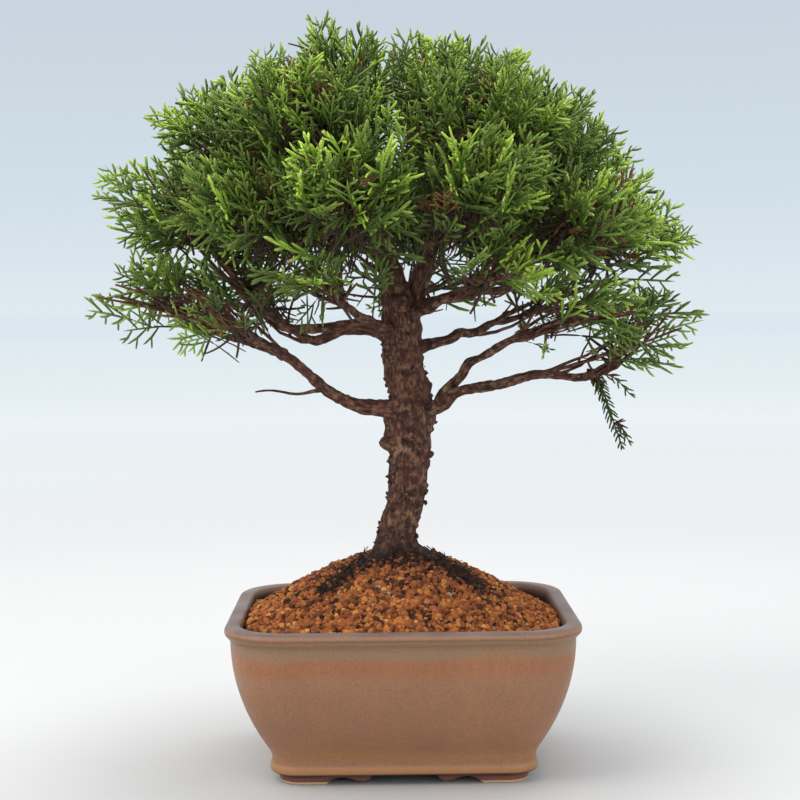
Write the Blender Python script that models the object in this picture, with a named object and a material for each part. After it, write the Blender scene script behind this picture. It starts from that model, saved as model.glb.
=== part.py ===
"""A small conifer bonsai in a glazed rectangular pot, for Blender 4.5. Metres, +Z up.

The origin is on the ground under the middle of the pot. The pot's long side runs along X and its
front faces -Y. Every sub-part is one object with its own material. Pieces that touch keep a gap.
"""

import math

import bmesh
import bpy
from mathutils import Matrix, Vector, noise

# ---------------------------------------------------------------- driving sizes
GAP = 0.0003  # between two pieces that touch

POT_WIDTH = 0.150  # over the rim, along X
POT_DEPTH = 0.125  # over the rim, along Y
POT_HEIGHT = 0.068  # ground to the top of the rim
POT_CORNER = 0.0255  # corner radius of the rim's outline
POT_WALL = 0.0045
POT_FLOOR = 0.0070
RIM_BEAD = 0.0055  # height of the rolled rim
RIM_OVERHANG = 0.0024  # how far the rim stands out from the side under it
RIM_WIDTH = 0.0066  # outer edge of the rim to its inner edge
WAIST_INSET = 0.0188  # rim's outline to the narrowest place
WAIST_HEIGHT = 0.0125
BELLY_CURVE = 2.1  # how late the side turns in towards the waist
LIP_INSET = 0.0182  # the small lip under the waist
LIP_HEIGHT = 0.0082
CORNER_LOSS = 0.72  # corner radius lost for each unit of inset

FOOT_HEIGHT = 0.0045
FOOT_INSET = 0.0222
FOOT_TAPER = 0.0012
FOOT_BAND = 0.0090  # thickness of the feet, seen from below
FOOT_FLAT_X = 0.0200  # flat length of a foot from its corner, along the front
FOOT_FLAT_Y = 0.0150
FOOT_CLOUD_X = 0.0200  # carved length after the flat
FOOT_CLOUD_Y = 0.0150

DRAIN_HOLE_RADIUS = 0.0060
DRAIN_HOLE_X = 0.0240
MESH_SIDE = 0.0240
MESH_THICK = 0.0010
MESH_BAR = 0.0012
MESH_CELLS = 5
CLIP_WIRE = 0.0010  # diameter
CLIP_SPREAD = 0.0030  # how far a clip's legs bend outwards under the pot
TIE_WIRE = 0.0015  # diameter
TIE_WIRE_TOP = 0.0560  # where its legs turn in towards the trunk
TIE_WIRE_REACH = 0.0155  # how near its ends come to the trunk's middle

GRIT_DEPTH = 0.0100
SOIL_EDGE_DROP = 0.0035  # rim down to the soil at the wall
SOIL_MOUND = 0.0295  # height of the mound over its edge
SOIL_MOUND_CURVE = 1.5
SOIL_DIP = 0.0060  # how much lower the soil lies in the right back corner

TRUNK_RISE = 0.0710  # top of the mound to the underside of the canopy
TRUNK_RADIUS = 0.0078
CANOPY_WIDTH = 0.274
CANOPY_DEPTH = 0.204
CANOPY_HEIGHT = 0.158
PAD_LUMPS = 0.13  # how deep a pad's outline is notched, as a share of its radius
HANGING_SHOOT_LENGTH = 0.034
HANGING_SHOOT_RADIUS = 0.0042

CORNER_STEPS = 6  # facets on each rounded corner of the pot
SIDE_RINGS = 8
MOUND_RINGS = 8

# The tree is drawn in millimetres at this size, then stretched to the driving sizes above.
DRAWN_WIDTH, DRAWN_DEPTH = 274, 204
DRAWN_SOIL, DRAWN_CANOPY, DRAWN_APEX = 94, 165, 323

# ---------------------------------------------------------------- finishes
FINISHES = {
    # name: (colour, roughness, metallic)
    "pot_glaze": ((0.30, 0.17, 0.09, 1), 0.38, 0.0),
    "drain_mesh_plastic": ((0.05, 0.06, 0.05, 1), 0.55, 0.0),
    "clip_wire": ((0.55, 0.55, 0.56, 1), 0.35, 1.0),
    "tie_wire": ((0.30, 0.13, 0.07, 1), 0.40, 1.0),
    "grit": ((0.55, 0.50, 0.42, 1), 0.95, 0.0),
    "soil": ((0.42, 0.17, 0.06, 1), 0.95, 0.0),
    "bark": ((0.13, 0.06, 0.04, 1), 0.85, 0.0),
    "foliage": ((0.08, 0.22, 0.04, 1), 0.60, 0.0),
    "hanging_foliage": ((0.07, 0.17, 0.05, 1), 0.60, 0.0),
}

# ---------------------------------------------------------------- the tree, drawn in millimetres
# Middle of the trunk and its radius as a multiple of TRUNK_RADIUS, from the root base upwards.
TRUNK = [
    ((-1, 1, 74), 0.95),
    ((-1, 1, 84), 1.45),
    ((-2, 0, 92), 1.50),
    ((-2, 0, 99), 1.18),
    ((-1, 0, 106), 1.00),
    ((2, 0, 115), 0.99),
    ((3, 0, 128), 1.03),
    ((4, 0, 138), 1.14),
    ((4, 0, 146), 1.30),
    ((5, 0, 153), 1.42),
    ((4, 0, 161), 1.10),
    ((2, 0, 172), 1.08),
    ((1, 0, 183), 1.12),
    ((0, 0, 193), 1.05),
    ((-1, -1, 204), 0.80),
    ((-5, -2, 220), 0.58),
    ((-8, -3, 238), 0.46),
    ((-14, -4, 262), 0.34),
    ((-24, -4, 288), 0.18),
    ((-28, -4, 304), 0.10),
]
RIGHT_LEADER = [(0, 1, 188), (8, 2, 206), (13, 2, 226), (17, 1, 252), (20, -1, 280), (22, -2, 299)]

# Knobs and cut stubs on the trunk: root point, tip, radius at the root.
STUBS = [
    ((3, -2, 139), (-8, -3, 141), 3.4),
    ((5, -2, 134), (15, -4, 136), 3.0),
    ((4, -2, 121), (12, -4, 122), 2.6),
    ((3, -3, 112), (-6, -8, 113), 3.0),
    ((4, -4, 150), (6, -13, 152), 4.2),
    ((2, -3, 176), (-6, -9, 178), 2.8),
    ((0, -4, 200), (-1, -12, 203), 5.0),
]

# Surface roots run over the mound: points in plan, and the radius at the trunk, in millimetres.
SURFACE_ROOTS = [
    ([(-3, -2), (-12, -9), (-22, -15), (-32, -22), (-40, -27)], 4.6),
    ([(3, -2), (13, -9), (22, -15), (31, -21), (37, -26)], 4.8),
    ([(-3, 3), (-14, 11), (-25, 18), (-34, 26)], 4.0),
    ([(4, 3), (14, 12), (24, 20), (33, 24)], 4.0),
]
# Roots under the soil, from the root base out and down.
BURIED_ROOTS = [
    ([(-2, 1, 80), (-18, 2, 66), (-36, 6, 52), (-50, 10, 42)], 4.2),
    ([(0, 1, 80), (18, 4, 66), (34, 8, 52), (48, 8, 42)], 4.0),
    ([(-1, 0, 80), (-4, -18, 64), (-8, -32, 48), (-8, -40, 38)], 3.6),
    ([(-1, 2, 80), (4, 18, 64), (8, 32, 50), (6, 40, 38)], 3.6),
]

# Foliage pads: middle, half sizes, and the route of the limb that carries the pad, ending at its
# middle. The last number is the limb's radius where it leaves the trunk.
PADS = {
    "pad_low_far_left": (
        (-106, -8, 203), (31, 34, 20),
        [(0, -2, 155), (-16, -6, 157), (-27, -10, 161), (-40, -14, 172), (-59, -18, 184),
         (-83, -13, 191)], 3.3),
    "pad_low_left_front": (
        (-76, -46, 197), (30, 28, 17), [(-50, -16, 180), (-62, -28, 188)], 1.8),
    "pad_low_left_back": (
        (-72, 48, 204), (35, 34, 19),
        [(-2, 2, 186), (-18, 4, 191), (-34, 8, 186), (-48, 18, 189), (-60, 34, 196)], 2.6),
    "pad_low_front_left": (
        (-32, -63, 208), (25, 22, 15), [(-4, -3, 190), (-12, -24, 194), (-22, -45, 200)], 2.0),
    "pad_low_front_right": (
        (39, -61, 212), (26, 22, 16), [(5, -3, 196), (18, -24, 202), (29, -44, 207)], 2.0),
    "pad_low_far_right": (
        (105, -4, 189), (31, 34, 19),
        [(6, -2, 150), (16, -6, 157), (24, -9, 162), (44, -14, 168), (68, -12, 170),
         (85, -9, 171)], 3.2),
    "pad_low_right_front": (
        (74, -44, 196), (30, 29, 17),
        [(17, -6, 158), (24, -7, 168), (31, -12, 176), (44, -24, 184), (60, -37, 190)], 2.4),
    "pad_low_right_back": (
        (70, 46, 199), (35, 34, 19), [(3, 2, 180), (22, 8, 186), (34, 17, 189), (50, 32, 194)], 2.5),
    "pad_low_back": (
        (4, 75, 206), (40, 28, 20), [(1, 4, 184), (4, 28, 192), (5, 52, 199)], 2.6),
    "pad_mid_far_left": (
        (-95, -10, 246), (34, 37, 22),
        [(-3, -2, 190), (-22, -2, 193), (-38, -4, 190), (-52, -4, 194), (-66, -5, 208),
         (-82, -8, 230)], 2.6),
    "pad_mid_left_front": (
        (-64, -50, 244), (31, 29, 20), [(-5, -3, 222), (-22, -16, 229), (-44, -34, 236)], 1.9),
    "pad_mid_left_back": (
        (-66, 46, 250), (35, 34, 22), [(-5, 0, 220), (-24, 14, 230), (-46, 31, 241)], 2.0),
    "pad_mid_front_left": (
        (-21, -73, 250), (31, 27, 20), [(-7, -3, 232), (-12, -26, 238), (-17, -50, 244)], 1.8),
    "pad_mid_front_right": (
        (31, -71, 251), (30, 27, 20), [(13, 1, 226), (18, -22, 234), (25, -47, 242)], 1.8),
    "pad_mid_right_front": (
        (74, -42, 236), (31, 31, 21), [(46, -4, 209), (56, -18, 219), (65, -32, 228)], 1.9),
    "pad_mid_far_right": (
        (99, -2, 231), (29, 35, 21),
        [(4, 0, 198), (20, -2, 204), (36, -3, 207), (53, -4, 210), (76, -4, 220)], 2.6),
    "pad_mid_right_back": (
        (68, 46, 243), (35, 34, 22), [(13, 2, 226), (30, 16, 233), (50, 32, 238)], 2.0),
    "pad_mid_back": (
        (-2, 74, 252), (40, 28, 22), [(12, 2, 222), (9, 27, 233), (4, 52, 243)], 2.0),
    "pad_high_left": (
        (-74, -6, 281), (31, 36, 20), [(-12, -4, 254), (-30, -5, 264), (-54, -6, 275)], 1.7),
    "pad_high_left_front": (
        (-43, -44, 285), (31, 30, 20), [(-14, -4, 260), (-23, -17, 270), (-34, -32, 280)], 1.5),
    "pad_high_left_back": (
        (-39, 40, 287), (34, 32, 21), [(-14, -3, 262), (-22, 13, 271), (-32, 28, 281)], 1.5),
    "pad_high_right_front": (
        (39, -40, 282), (31, 30, 20), [(17, 1, 254), (24, -14, 265), (32, -29, 276)], 1.5),
    "pad_high_right": (
        (64, 0, 275), (29, 34, 20), [(16, 1, 248), (34, 0, 259), (50, 0, 268)], 1.6),
    "pad_high_right_back": (
        (37, 40, 281), (34, 32, 21), [(17, 1, 256), (23, 16, 265), (31, 30, 275)], 1.5),
    "pad_crown_left": ((-27, -4, 302), (35, 34, 21), [], 0),
    "pad_crown_right": ((21, -2, 297), (32, 34, 19), [], 0),
}
# A bare twig under the first left limb.
BARE_TWIG = ([(-30, -11, 163), (-44, -15, 164), (-62, -20, 164)], 0.9)
LIMB_TIP_RADIUS = 0.9  # millimetres
HANGING_SHOOT_ROOT = (85, -9, 171)
HANGING_SHOOT_LEAN = (11, -3)  # how far its tip swings out, in millimetres


# ---------------------------------------------------------------- helpers
def clear_scene():
    """Removes every object that the startup scene holds."""
    for obj in list(bpy.data.objects):
        bpy.data.objects.remove(obj, do_unlink=True)


def finish(obj, look):
    """Gives the object its own Principled material in the named look."""
    colour, roughness, metallic = FINISHES[look]
    material = bpy.data.materials.new(obj.name)
    material.use_nodes = True
    shader = material.node_tree.nodes["Principled BSDF"]
    shader.inputs["Base Color"].default_value = colour
    shader.inputs["Roughness"].default_value = roughness
    shader.inputs["Metallic"].default_value = metallic
    material.diffuse_color = colour
    obj.data.materials.clear()
    obj.data.materials.append(material)
    return obj


def add_object(name, mesh):
    obj = bpy.data.objects.new(name, mesh)
    bpy.context.scene.collection.objects.link(obj)
    return obj


def from_bmesh(name, bm):
    """Turns a bmesh into an object with its faces looking outwards."""
    bmesh.ops.recalc_face_normals(bm, faces=bm.faces)
    mesh = bpy.data.meshes.new(name)
    bm.to_mesh(mesh)
    bm.free()
    return add_object(name, mesh)


def smooth(obj, angle=math.radians(40)):
    obj.data.shade_smooth()
    obj.data.set_sharp_from_angle(angle=angle)


def remove(*objects):
    for obj in objects:
        bpy.data.objects.remove(obj, do_unlink=True)


def evaluated_mesh(obj):
    graph = bpy.context.evaluated_depsgraph_get()
    return bpy.data.meshes.new_from_object(obj.evaluated_get(graph))


def boolean(obj, others, operation):
    """Joins the others to the object, or cuts them from it, and applies the result."""
    group = bpy.data.collections.new("operands")
    bpy.context.scene.collection.children.link(group)
    for other in others:
        group.objects.link(other)
    modifier = obj.modifiers.new(operation.lower(), "BOOLEAN")
    modifier.operation = operation
    modifier.solver = "EXACT"
    modifier.operand_type = "COLLECTION"
    modifier.collection = group
    bpy.context.view_layer.update()
    mesh = evaluated_mesh(obj)
    obj.modifiers.clear()
    obj.data = mesh
    bpy.data.collections.remove(group)


def weld(obj, distance=1e-6):
    bm = bmesh.new()
    bm.from_mesh(obj.data)
    bmesh.ops.remove_doubles(bm, verts=bm.verts, dist=distance)
    bm.to_mesh(obj.data)
    bm.free()


def rounded_rectangle(half_width, half_depth, radius):
    """Points round a rectangle with arcs for corners, anticlockwise from the +X side."""
    points = []
    for corner in range(4):
        turn = corner * math.pi / 2
        middle_x = (half_width - radius) * (1 if corner in (0, 3) else -1)
        middle_y = (half_depth - radius) * (1 if corner in (0, 1) else -1)
        for step in range(CORNER_STEPS + 1):
            angle = turn + step * math.pi / 2 / CORNER_STEPS
            points.append((middle_x + radius * math.cos(angle), middle_y + radius * math.sin(angle)))
    return points


def pot_outline(inset):
    """The pot's outline in plan, this far inside the rim's outer edge."""
    radius = POT_CORNER - CORNER_LOSS * inset
    return rounded_rectangle(POT_WIDTH / 2 - inset, POT_DEPTH / 2 - inset, radius)


def loft(name, rings):
    """A closed solid through rings of equal point counts, with its first and last ring capped."""
    bm = bmesh.new()
    loops = [[bm.verts.new(point) for point in ring] for ring in rings]
    count = len(loops[0])
    for lower, upper in zip(loops, loops[1:]):
        for i in range(count):
            j = (i + 1) % count
            bm.faces.new((lower[i], lower[j], upper[j], upper[i]))
    bm.faces.new(reversed(loops[0]))
    bm.faces.new(loops[-1])
    return from_bmesh(name, bm)


def prism(name, outline, start, end, axis):
    """Extrudes an outline of (across, up) points along X or Y."""
    def place(across, up, along):
        return (across, along, up) if axis == "Y" else (along, across, up)

    return loft(name, [[place(a, u, along) for a, u in outline] for along in (start, end)])


def box(name, low, high):
    bm = bmesh.new()
    bmesh.ops.create_cube(bm, size=1)
    size = Vector(high) - Vector(low)
    middle = (Vector(high) + Vector(low)) / 2
    bmesh.ops.transform(bm, matrix=Matrix.Translation(middle) @ Matrix.Diagonal(size.to_4d()), verts=bm.verts)
    return from_bmesh(name, bm)


def cylinder(name, radius, centre, low, high, sides=32):
    ring = [
        (centre[0] + radius * math.cos(2 * math.pi * i / sides),
         centre[1] + radius * math.sin(2 * math.pi * i / sides))
        for i in range(sides)
    ]
    return loft(name, [[(x, y, z) for x, y in ring] for z in (low, high)])


def catmull_rom(points, steps):
    """A smooth curve through the points, with this many steps between two of them."""
    padded = [points[0] * 2 - points[1], *points, points[-1] * 2 - points[-2]]
    curve = []
    for a, b, c, d in zip(padded, padded[1:], padded[2:], padded[3:]):
        for step in range(steps):
            t = step / steps
            curve.append(
                (b * 2 + (c - a) * t + (a * 2 - b * 5 + c * 4 - d) * t * t
                 + (b * 3 - a - c * 3 + d) * t * t * t) / 2
            )
    return [*curve, points[-1]]


def tube(name, points, radii, bevel_resolution=1):
    """A tapered tube along the points: a bevelled curve with filled caps, made a mesh."""
    curve = bpy.data.curves.new(name, "CURVE")
    curve.dimensions = "3D"
    curve.bevel_depth = 1
    curve.bevel_resolution = bevel_resolution
    curve.use_fill_caps = True
    spline = curve.splines.new("POLY")
    spline.points.add(len(points) - 1)
    for knot, point, radius in zip(spline.points, points, radii):
        knot.co = (*point, 1)
        knot.radius = radius
    drawn = add_object(name + "_curve", curve)
    bpy.context.view_layer.update()
    mesh = evaluated_mesh(drawn)
    remove(drawn)
    obj = add_object(name, mesh)
    weld(obj)
    return obj


def wire(name, route, diameter, clearance=0.0):
    """A round wire along a route, or with a clearance the channel that it needs."""
    points = [Vector(point) for point in route]
    if clearance:
        points[0] += (points[0] - points[1]).normalized() * clearance
        points[-1] += (points[-1] - points[-2]).normalized() * clearance
    return tube(name, points, [diameter / 2 + clearance] * len(points))


# ---------------------------------------------------------------- the pot
def side_inset(height):
    """How far the pot's side stands inside the rim's outline between the waist and the rim."""
    share = (height - WAIST_HEIGHT) / (POT_HEIGHT - RIM_BEAD - WAIST_HEIGHT)
    return RIM_OVERHANG + (WAIST_INSET - RIM_OVERHANG) * (1 - min(max(share, 0), 1)) ** BELLY_CURVE


def inner_inset(height):
    """The inner wall, as thick as the side, and straight where the rim is wider."""
    return max(side_inset(height) + POT_WALL, RIM_WIDTH)


def foot_cutter(name, half_length, flat, cloud, reach, axis):
    """What is carved out between two feet: an arch, a hanging lobe and the open middle."""
    start = half_length - flat
    # Along the carved stretch from the flat, and up, both as shares.
    cloud_outline = [
        (0.00, -0.30), (0.04, 0.20), (0.17, 0.56), (0.34, 0.68), (0.50, 0.54),
        (0.64, 0.30), (0.78, 0.24), (0.90, 0.40), (0.97, 0.80), (1.00, 1.90),
    ]
    right = [(start - cloud * along, FOOT_HEIGHT * up) for along, up in cloud_outline]
    left = [(-across, up) for across, up in reversed(right)]
    return prism(name, right + left, -reach, reach, axis)


def make_pot():
    top = POT_HEIGHT
    under_bead = POT_HEIGHT - RIM_BEAD
    floor = FOOT_HEIGHT + POT_FLOOR
    outer = [
        (LIP_INSET + 0.0018, FOOT_HEIGHT),
        (LIP_INSET + 0.0005, FOOT_HEIGHT + 0.0012),
        (LIP_INSET, LIP_HEIGHT),
        (WAIST_INSET, LIP_HEIGHT + 0.0022),
    ]
    for ring in range(SIDE_RINGS):
        height = WAIST_HEIGHT + (under_bead - WAIST_HEIGHT) * ring / (SIDE_RINGS - 1)
        outer.append((side_inset(height), height))
    bead = [
        (0.45, 0.14), (0.10, 0.32), (0.00, 0.55), (0.15, 0.80), (0.75, 1.00),
    ]
    outer += [(RIM_OVERHANG * across, under_bead + RIM_BEAD * up) for across, up in bead]
    inner = [(RIM_WIDTH - 0.0012, top), (RIM_WIDTH, top - 0.0010)]
    for ring in range(SIDE_RINGS):
        height = under_bead - (under_bead - floor - 0.0020) * ring / (SIDE_RINGS - 1)
        inner.append((inner_inset(height), height))
    inner.append((inner_inset(floor + 0.0020) + 0.0025, floor))
    rings = [[(x, y, z) for x, y in pot_outline(inset)] for inset, z in outer + inner]
    pot = loft("pot", rings)

    overlap = FOOT_HEIGHT + POT_FLOOR / 2
    half_width = POT_WIDTH / 2 - FOOT_INSET - FOOT_TAPER
    half_depth = POT_DEPTH / 2 - FOOT_INSET - FOOT_TAPER
    feet_rings = [
        [(x, y, z) for x, y in pot_outline(inset)]
        for inset, z in ((FOOT_INSET + FOOT_TAPER, 0), (FOOT_INSET, FOOT_HEIGHT), (FOOT_INSET, overlap))
    ]
    feet = loft("feet", feet_rings)
    middle = loft(
        "feet_middle",
        [[(x, y, z) for x, y in pot_outline(FOOT_INSET + FOOT_BAND)] for z in (-0.002, overlap + 0.002)],
    )
    front = foot_cutter("foot_cut_y", half_width, FOOT_FLAT_X, FOOT_CLOUD_X, POT_DEPTH, "Y")
    side = foot_cutter("foot_cut_x", half_depth, FOOT_FLAT_Y, FOOT_CLOUD_Y, POT_WIDTH, "X")
    for cutter in (middle, front, side):
        boolean(feet, [cutter], "DIFFERENCE")
    boolean(pot, [feet], "UNION")
    holes = [
        cylinder("drain_hole", DRAIN_HOLE_RADIUS, (side_x, 0), -0.01, floor + 0.01)
        for side_x in (-DRAIN_HOLE_X, DRAIN_HOLE_X)
    ]
    boolean(pot, holes, "DIFFERENCE")
    remove(feet, middle, front, side, *holes)
    weld(pot)
    smooth(pot)
    finish(pot, "pot_glaze")
    return pot


def make_drain_mesh(name, centre_x):
    """A square plastic grid that lies on the pot's floor over a drain hole."""
    low = FOOT_HEIGHT + POT_FLOOR + GAP
    half = MESH_SIDE / 2
    plate = box(name, (centre_x - half, -half, low), (centre_x + half, half, low + MESH_THICK))
    pitch = mesh_pitch()
    cell = (pitch - MESH_BAR) / 2
    cutters = []
    for column in range(MESH_CELLS):
        for row in range(MESH_CELLS):
            x = centre_x + (column - (MESH_CELLS - 1) / 2) * pitch
            y = (row - (MESH_CELLS - 1) / 2) * pitch
            low_corner = (x - cell, y - cell, low - MESH_THICK)
            high_corner = (x + cell, y + cell, low + 2 * MESH_THICK)
            cutters.append(box("cell", low_corner, high_corner))
    boolean(plate, cutters, "DIFFERENCE")
    remove(*cutters)
    return finish(plate, "drain_mesh_plastic")


def mesh_pitch():
    """From one cell of the drain mesh to the next."""
    return (MESH_SIDE - MESH_BAR) / MESH_CELLS


def clip_route(centre_x):
    """Across the mesh, down through two cells and the hole, and out under the pot."""
    pitch = mesh_pitch()
    bar = FOOT_HEIGHT + POT_FLOOR + GAP + MESH_THICK + GAP + CLIP_WIRE / 2
    under = FOOT_HEIGHT - GAP - CLIP_WIRE / 2
    bend = CLIP_WIRE * 0.7
    half = [
        (pitch - bend, bar), (pitch - 0.2 * bend, bar - 0.2 * bend), (pitch, bar - bend),
        (pitch, under + bend), (pitch + 0.2 * bend, under + 0.2 * bend), (pitch + bend, under),
        (pitch + bend + CLIP_SPREAD, under),
    ]
    route = [(-y, z) for y, z in reversed(half)] + half
    return [(centre_x, y, z) for y, z in route]


def tie_wire_route():
    """Under the pot from hole to hole, up through a cell and the soil, and in over the roots."""
    under = FOOT_HEIGHT - GAP - TIE_WIRE / 2
    bend = TIE_WIRE * 0.7
    leg = DRAIN_HOLE_X - mesh_pitch()
    half = [
        (leg - bend, under), (leg - 0.2 * bend, under + 0.2 * bend),
        (leg, under + bend), (leg, TIE_WIRE_TOP - 2 * bend),
        (leg - 0.3 * bend, TIE_WIRE_TOP),
        (TIE_WIRE_REACH, TIE_WIRE_TOP + 0.7 * (leg - TIE_WIRE_REACH)),
    ]
    route = [(-x, z) for x, z in reversed(half)] + half
    return [(x, 0, z) for x, z in route]


# ---------------------------------------------------------------- the soil
def soil_edge_height():
    return POT_HEIGHT - SOIL_EDGE_DROP


def soil_height(x, y):
    """The mound: highest at the trunk, falling to the wall, with a hollow at the right back."""
    half_width = POT_WIDTH / 2 - RIM_WIDTH
    half_depth = POT_DEPTH / 2 - RIM_WIDTH
    share = min(math.hypot(x / half_width, y / half_depth), 1)
    dip_x, dip_y = (x - 0.62 * half_width) / 0.020, (y - 0.60 * half_depth) / 0.020
    dip = SOIL_DIP * math.exp(-(dip_x * dip_x + dip_y * dip_y) / 2)
    return soil_edge_height() + SOIL_MOUND * (1 - share**SOIL_MOUND_CURVE) - dip


def make_grit():
    """The coarse layer under the soil."""
    low = FOOT_HEIGHT + POT_FLOOR + GAP
    high = low + GRIT_DEPTH
    rings = []
    for z in (low, low + 0.0020, (low + high) / 2, high):
        inset = inner_inset(z) + GAP + (0.0032 if z == low else 0)
        rings.append([(x, y, z) for x, y in pot_outline(inset)])
    return loft("drainage_grit", rings)


def make_soil():
    """The soil from the grit up to the mound, without the room that roots and wire need."""
    low = FOOT_HEIGHT + POT_FLOOR + GAP + GRIT_DEPTH + GAP
    edge = soil_edge_height()
    rings = []
    for ring in range(6):
        z = low + (edge - low) * ring / 5
        rings.append([(x, y, z) for x, y in pot_outline(inner_inset(z) + GAP)])
    outline = pot_outline(inner_inset(edge) + GAP)
    rings[-1] = [(x, y, soil_height(x, y)) for x, y in outline]
    for ring in range(1, MOUND_RINGS):
        share = 1 - ring / MOUND_RINGS
        rings.append([(x * share, y * share, soil_height(x * share, y * share)) for x, y in outline])
    return loft("soil", rings)


# ---------------------------------------------------------------- the tree
def place(point):
    """A point of the tree's drawing, in metres and stretched to the driving sizes."""
    x, y, z = point
    soil_top = soil_edge_height() + SOIL_MOUND
    if z > DRAWN_CANOPY:
        share = (z - DRAWN_CANOPY) / (DRAWN_APEX - DRAWN_CANOPY)
        height = soil_top + TRUNK_RISE + share * CANOPY_HEIGHT
    elif z > DRAWN_SOIL:
        share = (z - DRAWN_SOIL) / (DRAWN_CANOPY - DRAWN_SOIL)
        height = soil_top + share * TRUNK_RISE
    else:
        height = soil_top + (z - DRAWN_SOIL) / 1000
    stretch = min(max((z - DRAWN_SOIL) / (DRAWN_CANOPY - DRAWN_SOIL), 0), 1)
    across = 1 + (CANOPY_WIDTH * 1000 / DRAWN_WIDTH - 1) * stretch
    deep = 1 + (CANOPY_DEPTH * 1000 / DRAWN_DEPTH - 1) * stretch
    return Vector((x * across / 1000, y * deep / 1000, height))


def taper(count, first, last, power=0.8):
    return [first + (last - first) * (i / (count - 1)) ** power for i in range(count)]


def wood_pieces(clearance):
    """Every tube of the tree's wood. A clearance makes them larger: the room that they need."""
    grown = "_room" if clearance else ""
    pieces = []

    def add(name, points, radii, bevel_resolution=1):
        radii = [radius + clearance for radius in radii]
        points = list(points)
        points[-1] = points[-1] + (points[-1] - points[-2]).normalized() * clearance
        pieces.append(tube(name + grown, points, radii, bevel_resolution))

    middle = catmull_rom([place(point) for point, _ in TRUNK], 2)
    sizes = catmull_rom([Vector((size * TRUNK_RADIUS, 0, 0)) for _, size in TRUNK], 2)
    add("trunk", middle, [size.x for size in sizes], 4)
    leader = catmull_rom([place(point) for point in RIGHT_LEADER], 2)
    add("leader", leader, taper(len(leader), 0.0052, 0.0009), 2)
    for root, tip, radius in STUBS:
        start, end = place(root), place(tip)
        add("stub", [start, (start + end) / 2, end], [radius / 1000, radius / 1200, radius / 2200])
    for plan, radius in SURFACE_ROOTS:
        half = radius / 1000
        points = [Vector((x / 1000, y / 1000, 0)) for x, y in plan]
        for i, point in enumerate(points):
            sunk = half * 0.25 + 0.0006 * i
            point.z = soil_height(point.x, point.y) - sunk
        points[-1].z -= 0.0020
        curve = catmull_rom(points, 2)
        add("surface_root", curve, taper(len(curve), half, 0.0011))
    for route, radius in BURIED_ROOTS:
        curve = catmull_rom([place(point) for point in route], 2)
        add("buried_root", curve, taper(len(curve), radius / 1000, 0.0010))
    for centre, _, route, radius in PADS.values():
        if route:
            curve = catmull_rom([place(point) for point in [*route, centre]], 2)
            resolution = 2 if radius > 2.6 else 1
            add("limb", curve, taper(len(curve), radius / 1000, LIMB_TIP_RADIUS / 1000), resolution)
    twig, radius = BARE_TWIG
    curve = catmull_rom([place(point) for point in twig], 2)
    add("bare_twig", curve, taper(len(curve), radius / 1000, 0.0006))
    return pieces


def make_wood(name, clearance):
    """Roots, trunk and limbs, which grew as one piece."""
    trunk, *others = wood_pieces(clearance)
    boolean(trunk, others, "UNION")
    remove(*others)
    weld(trunk)
    trunk.name = name
    trunk.data.name = name
    return trunk


def pad_half(name):
    """A pad's half sizes in millimetres, stretched as the canopy is, so that pads still meet."""
    half_x, half_y, half_z = PADS[name][1]
    across, deep = CANOPY_WIDTH * 1000 / DRAWN_WIDTH, CANOPY_DEPTH * 1000 / DRAWN_DEPTH
    tall = CANOPY_HEIGHT * 1000 / (DRAWN_APEX - DRAWN_CANOPY)
    return half_x * across, half_y * deep, half_z * tall


def pad_solid(name, centre, half):
    """A lumpy ellipsoid of foliage."""
    bm = bmesh.new()
    bmesh.ops.create_icosphere(bm, subdivisions=3, radius=1)
    middle = place(centre)
    seed = Vector(centre) * 0.37
    for vert in bm.verts:
        lump = 1 + PAD_LUMPS * noise.noise(vert.co * 1.9 + seed)
        vert.co = middle + Vector(c * h / 1000 * lump for c, h in zip(vert.co, half))
    return from_bmesh(name, bm)


def support(half, direction):
    """How far an ellipsoid reaches along a direction."""
    return math.sqrt(sum((h / 1000 * d) ** 2 for h, d in zip(half, direction)))


def keep_apart(pads):
    """Trims neighbours that would meet to a flat face between them, with a gap."""
    spread = 1 + PAD_LUMPS
    for name, obj in pads.items():
        centre, half = place(PADS[name][0]), pad_half(name)
        bm = bmesh.new()
        bm.from_mesh(obj.data)
        for other in PADS:
            apart = place(PADS[other][0]) - centre
            if other == name or apart.length == 0:
                continue
            direction = apart.normalized()
            reach, other_reach = support(half, direction), support(pad_half(other), direction)
            if (reach + other_reach) * spread < apart.length:
                continue
            limit = apart.length * reach / (reach + other_reach) - GAP
            cut = bmesh.ops.bisect_plane(
                bm, geom=[*bm.verts, *bm.edges, *bm.faces], plane_co=centre + direction * limit,
                plane_no=direction, clear_outer=True)
            edges = [item for item in cut["geom_cut"] if isinstance(item, bmesh.types.BMEdge)]
            if edges:
                bmesh.ops.holes_fill(bm, edges=edges)
        bmesh.ops.triangulate(bm, faces=bm.faces)
        bmesh.ops.recalc_face_normals(bm, faces=bm.faces)
        bm.to_mesh(obj.data)
        bm.free()


def make_pads(room):
    """The foliage, one solid for each limb, with a pocket for the wood inside it."""
    pads = {name: pad_solid(name, pad[0], pad_half(name)) for name, pad in PADS.items()}
    keep_apart(pads)
    for obj in pads.values():
        boolean(obj, [room], "DIFFERENCE")
        weld(obj)
        finish(obj, "foliage")


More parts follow.
